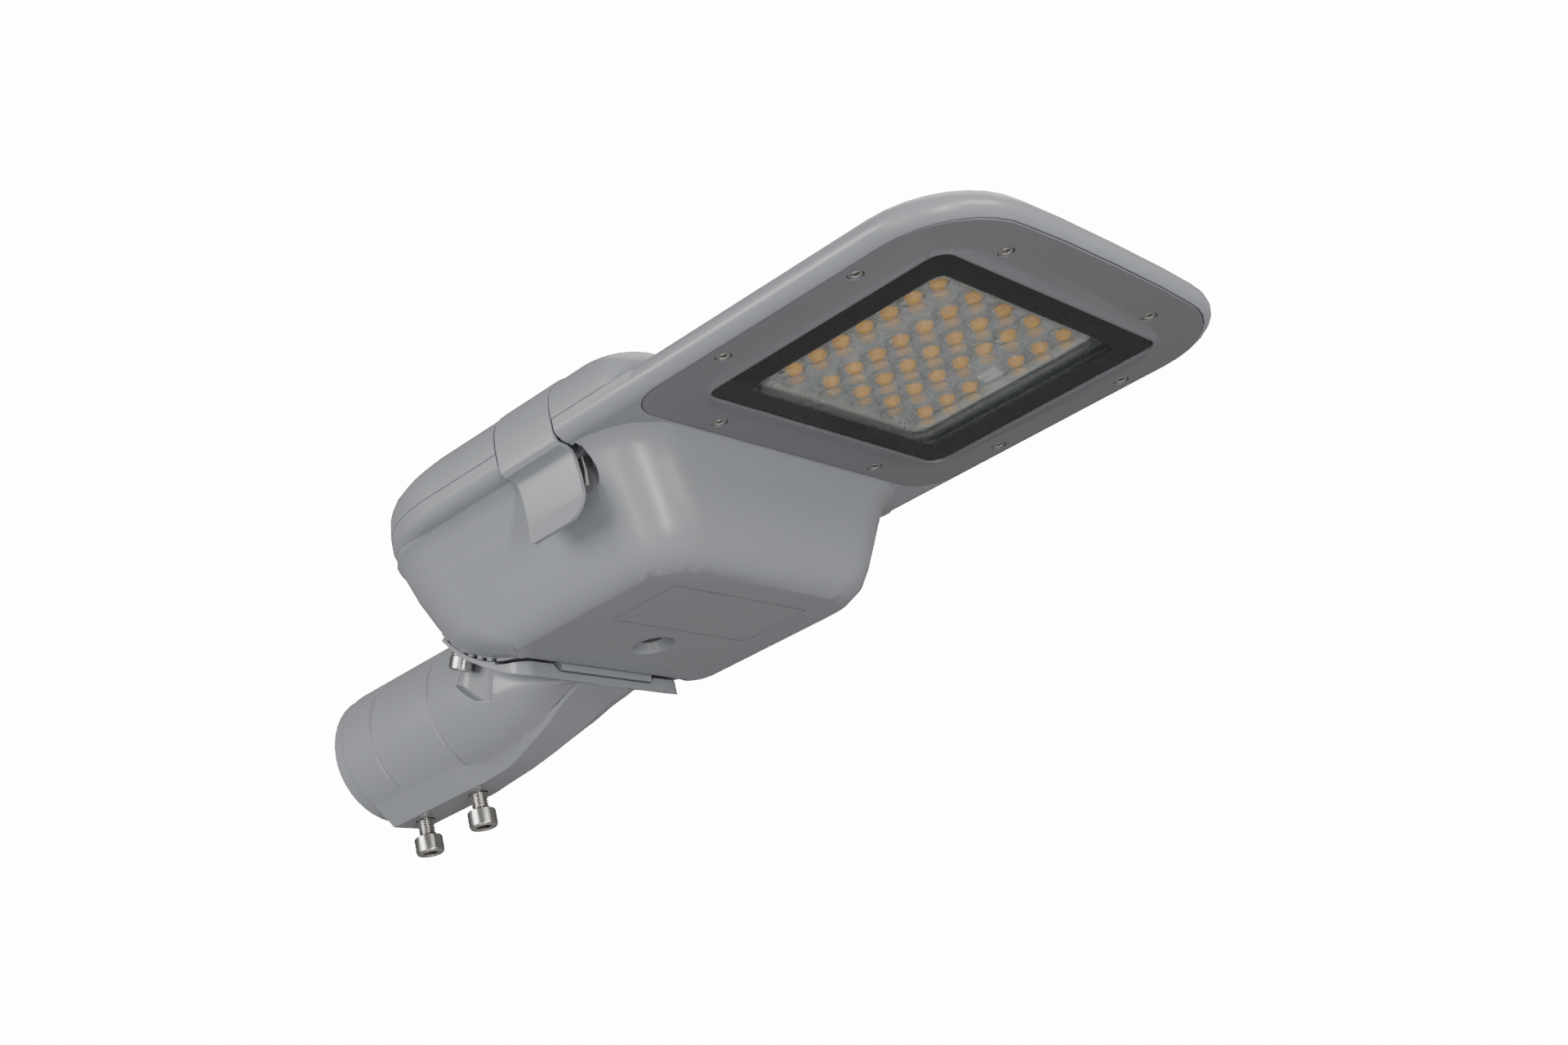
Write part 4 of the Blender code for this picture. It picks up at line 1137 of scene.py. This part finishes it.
@dataclass
class GearBox:
    """The electrical parts under the cover."""

    workshop: Workshop

    def build(self) -> None:
        """Dresses the gear tray and what stands on it."""
        finishes = {
            "gear_tray": "zinc", "led_driver": "white_plastic", "surge_protector": "black_plastic",
            "terminal_block": "white_plastic", "cable_clamp": "black_plastic",
        }
        for node, finish in finishes.items():
            self.workshop.smooth_copy(node, finish)
        for number in range(1, 5):
            self.workshop.smooth_copy(f"tray_screw_{number}", "steel")


@dataclass(frozen=True)
class SoftLamp:
    """One rectangular lamp: place and size in metres, power in watts."""

    name: str
    place: Point
    size: Flat
    power: float

    def hang(self, target: Point) -> None:
        """Hangs the lamp and aims it.

        Args:
            target: the place that it lights, in metres.
        """
        light = bpy.data.lights.new(self.name, "AREA")
        light.shape = "RECTANGLE"
        light.size, light.size_y = self.size
        light.energy = self.power
        lamp = bpy.data.objects.new(self.name, light)
        lamp.location = self.place
        aim = Vector(target) - Vector(self.place)
        lamp.rotation_euler = aim.to_track_quat("-Z", "Y").to_euler()
        lamp.visible_camera = False
        bpy.context.scene.collection.objects.link(lamp)


@dataclass
class Studio:
    """Camera, lamps, floor and sky."""

    eye: Point = (0.8636, -0.7656, -0.3616)
    right: Point = (0.7373, 0.638, -0.2221)
    up: Point = (0.4028, -0.1512, 0.9027)
    back: Point = (0.5424, -0.755, -0.3685)
    lens: float = 46.98
    sensor_width: float = 36.0
    clip_start: float = 0.01
    middle: Point = (0.27, 0.0, 0.02)
    floor_z: float = -1.8
    floor_radius: float = 9.0
    glow: float = 0.22
    backdrop: float = 14.0
    lamps: tuple[SoftLamp, ...] = (
        SoftLamp("key", (-0.2, -1.5, 0.30), (1.0, 0.8), 23.0),
        SoftLamp("top", (0.5, 0.5, 1.3), (1.4, 1.2), 14.0),
        SoftLamp("front", (1.75, -0.1, 0.15), (0.9, 0.7), 16.0),
        SoftLamp("strip_near", (1.30, -0.61, -0.42), (0.08, 0.8), 8.0),
        SoftLamp("strip_far", (0.56, -1.15, -0.62), (0.08, 0.8), 2.6),
    )

    def build(self) -> None:
        """Sets up the studio."""
        self._camera()
        self._floor()
        self._sky()
        for lamp in self.lamps:
            lamp.hang(self.middle)

    def _camera(self) -> None:
        """Aims the camera."""
        camera = bpy.data.objects.new("camera", bpy.data.cameras.new("camera"))
        camera.data.lens = self.lens
        camera.data.sensor_width = self.sensor_width
        camera.data.clip_start = self.clip_start
        turn = Matrix((self.right, self.up, self.back)).transposed()
        camera.matrix_world = Matrix.Translation(Vector(self.eye)) @ turn.to_4x4()
        bpy.context.scene.collection.objects.link(camera)
        bpy.context.scene.camera = camera

    def _floor(self) -> None:
        """Lays a plain pale floor below the lamp and the camera."""
        bm = bmesh.new()
        bmesh.ops.create_circle(bm, cap_ends=True, segments=64, radius=self.floor_radius)
        bmesh.ops.translate(bm, verts=bm.verts, vec=(self.middle[0], 0.0, self.floor_z))
        floor = piece_from(bm, "floor")
        material = bpy.data.materials.new("pale_floor")
        material.use_nodes = True
        shader = material.node_tree.nodes["Principled BSDF"]
        shader.inputs["Base Color"].default_value = (0.85, 0.85, 0.85, 1.0)
        shader.inputs["Roughness"].default_value = 0.9
        floor.data.materials.append(material)

    def _sky(self) -> None:
        """Surrounds the studio with one plain tone, which stands brighter behind the lamp."""
        world = bpy.data.worlds.new("studio_sky")
        world.use_nodes = True
        wiring = Wiring(world.node_tree)
        white = (1.0, 1.0, 1.0, 1.0)
        soft = world.node_tree.nodes["Background"]
        soft.inputs["Color"].default_value = white
        soft.inputs["Strength"].default_value = self.glow
        bright = wiring.node("ShaderNodeBackground", {"Color": white, "Strength": self.backdrop})
        choice = wiring.node("ShaderNodeMixShader")
        wiring.link(wiring.node("ShaderNodeLightPath").outputs["Is Camera Ray"], choice.inputs[0])
        wiring.link(soft.outputs[0], choice.inputs[1])
        wiring.link(bright.outputs[0], choice.inputs[2])
        wiring.link(choice.outputs[0], world.node_tree.nodes["World Output"].inputs[0])
        bpy.context.scene.world = world


def main() -> None:
    """Builds the studio and every sub-assembly."""
    logging.basicConfig(level=logging.INFO)
    workshop = Workshop()
    Studio().build()
    PoleSpigot(workshop).build()
    LampBody(workshop).build()
    LightUnit(workshop).build()
    GearBox(workshop).build()


if __name__ == "__main__":
    main()
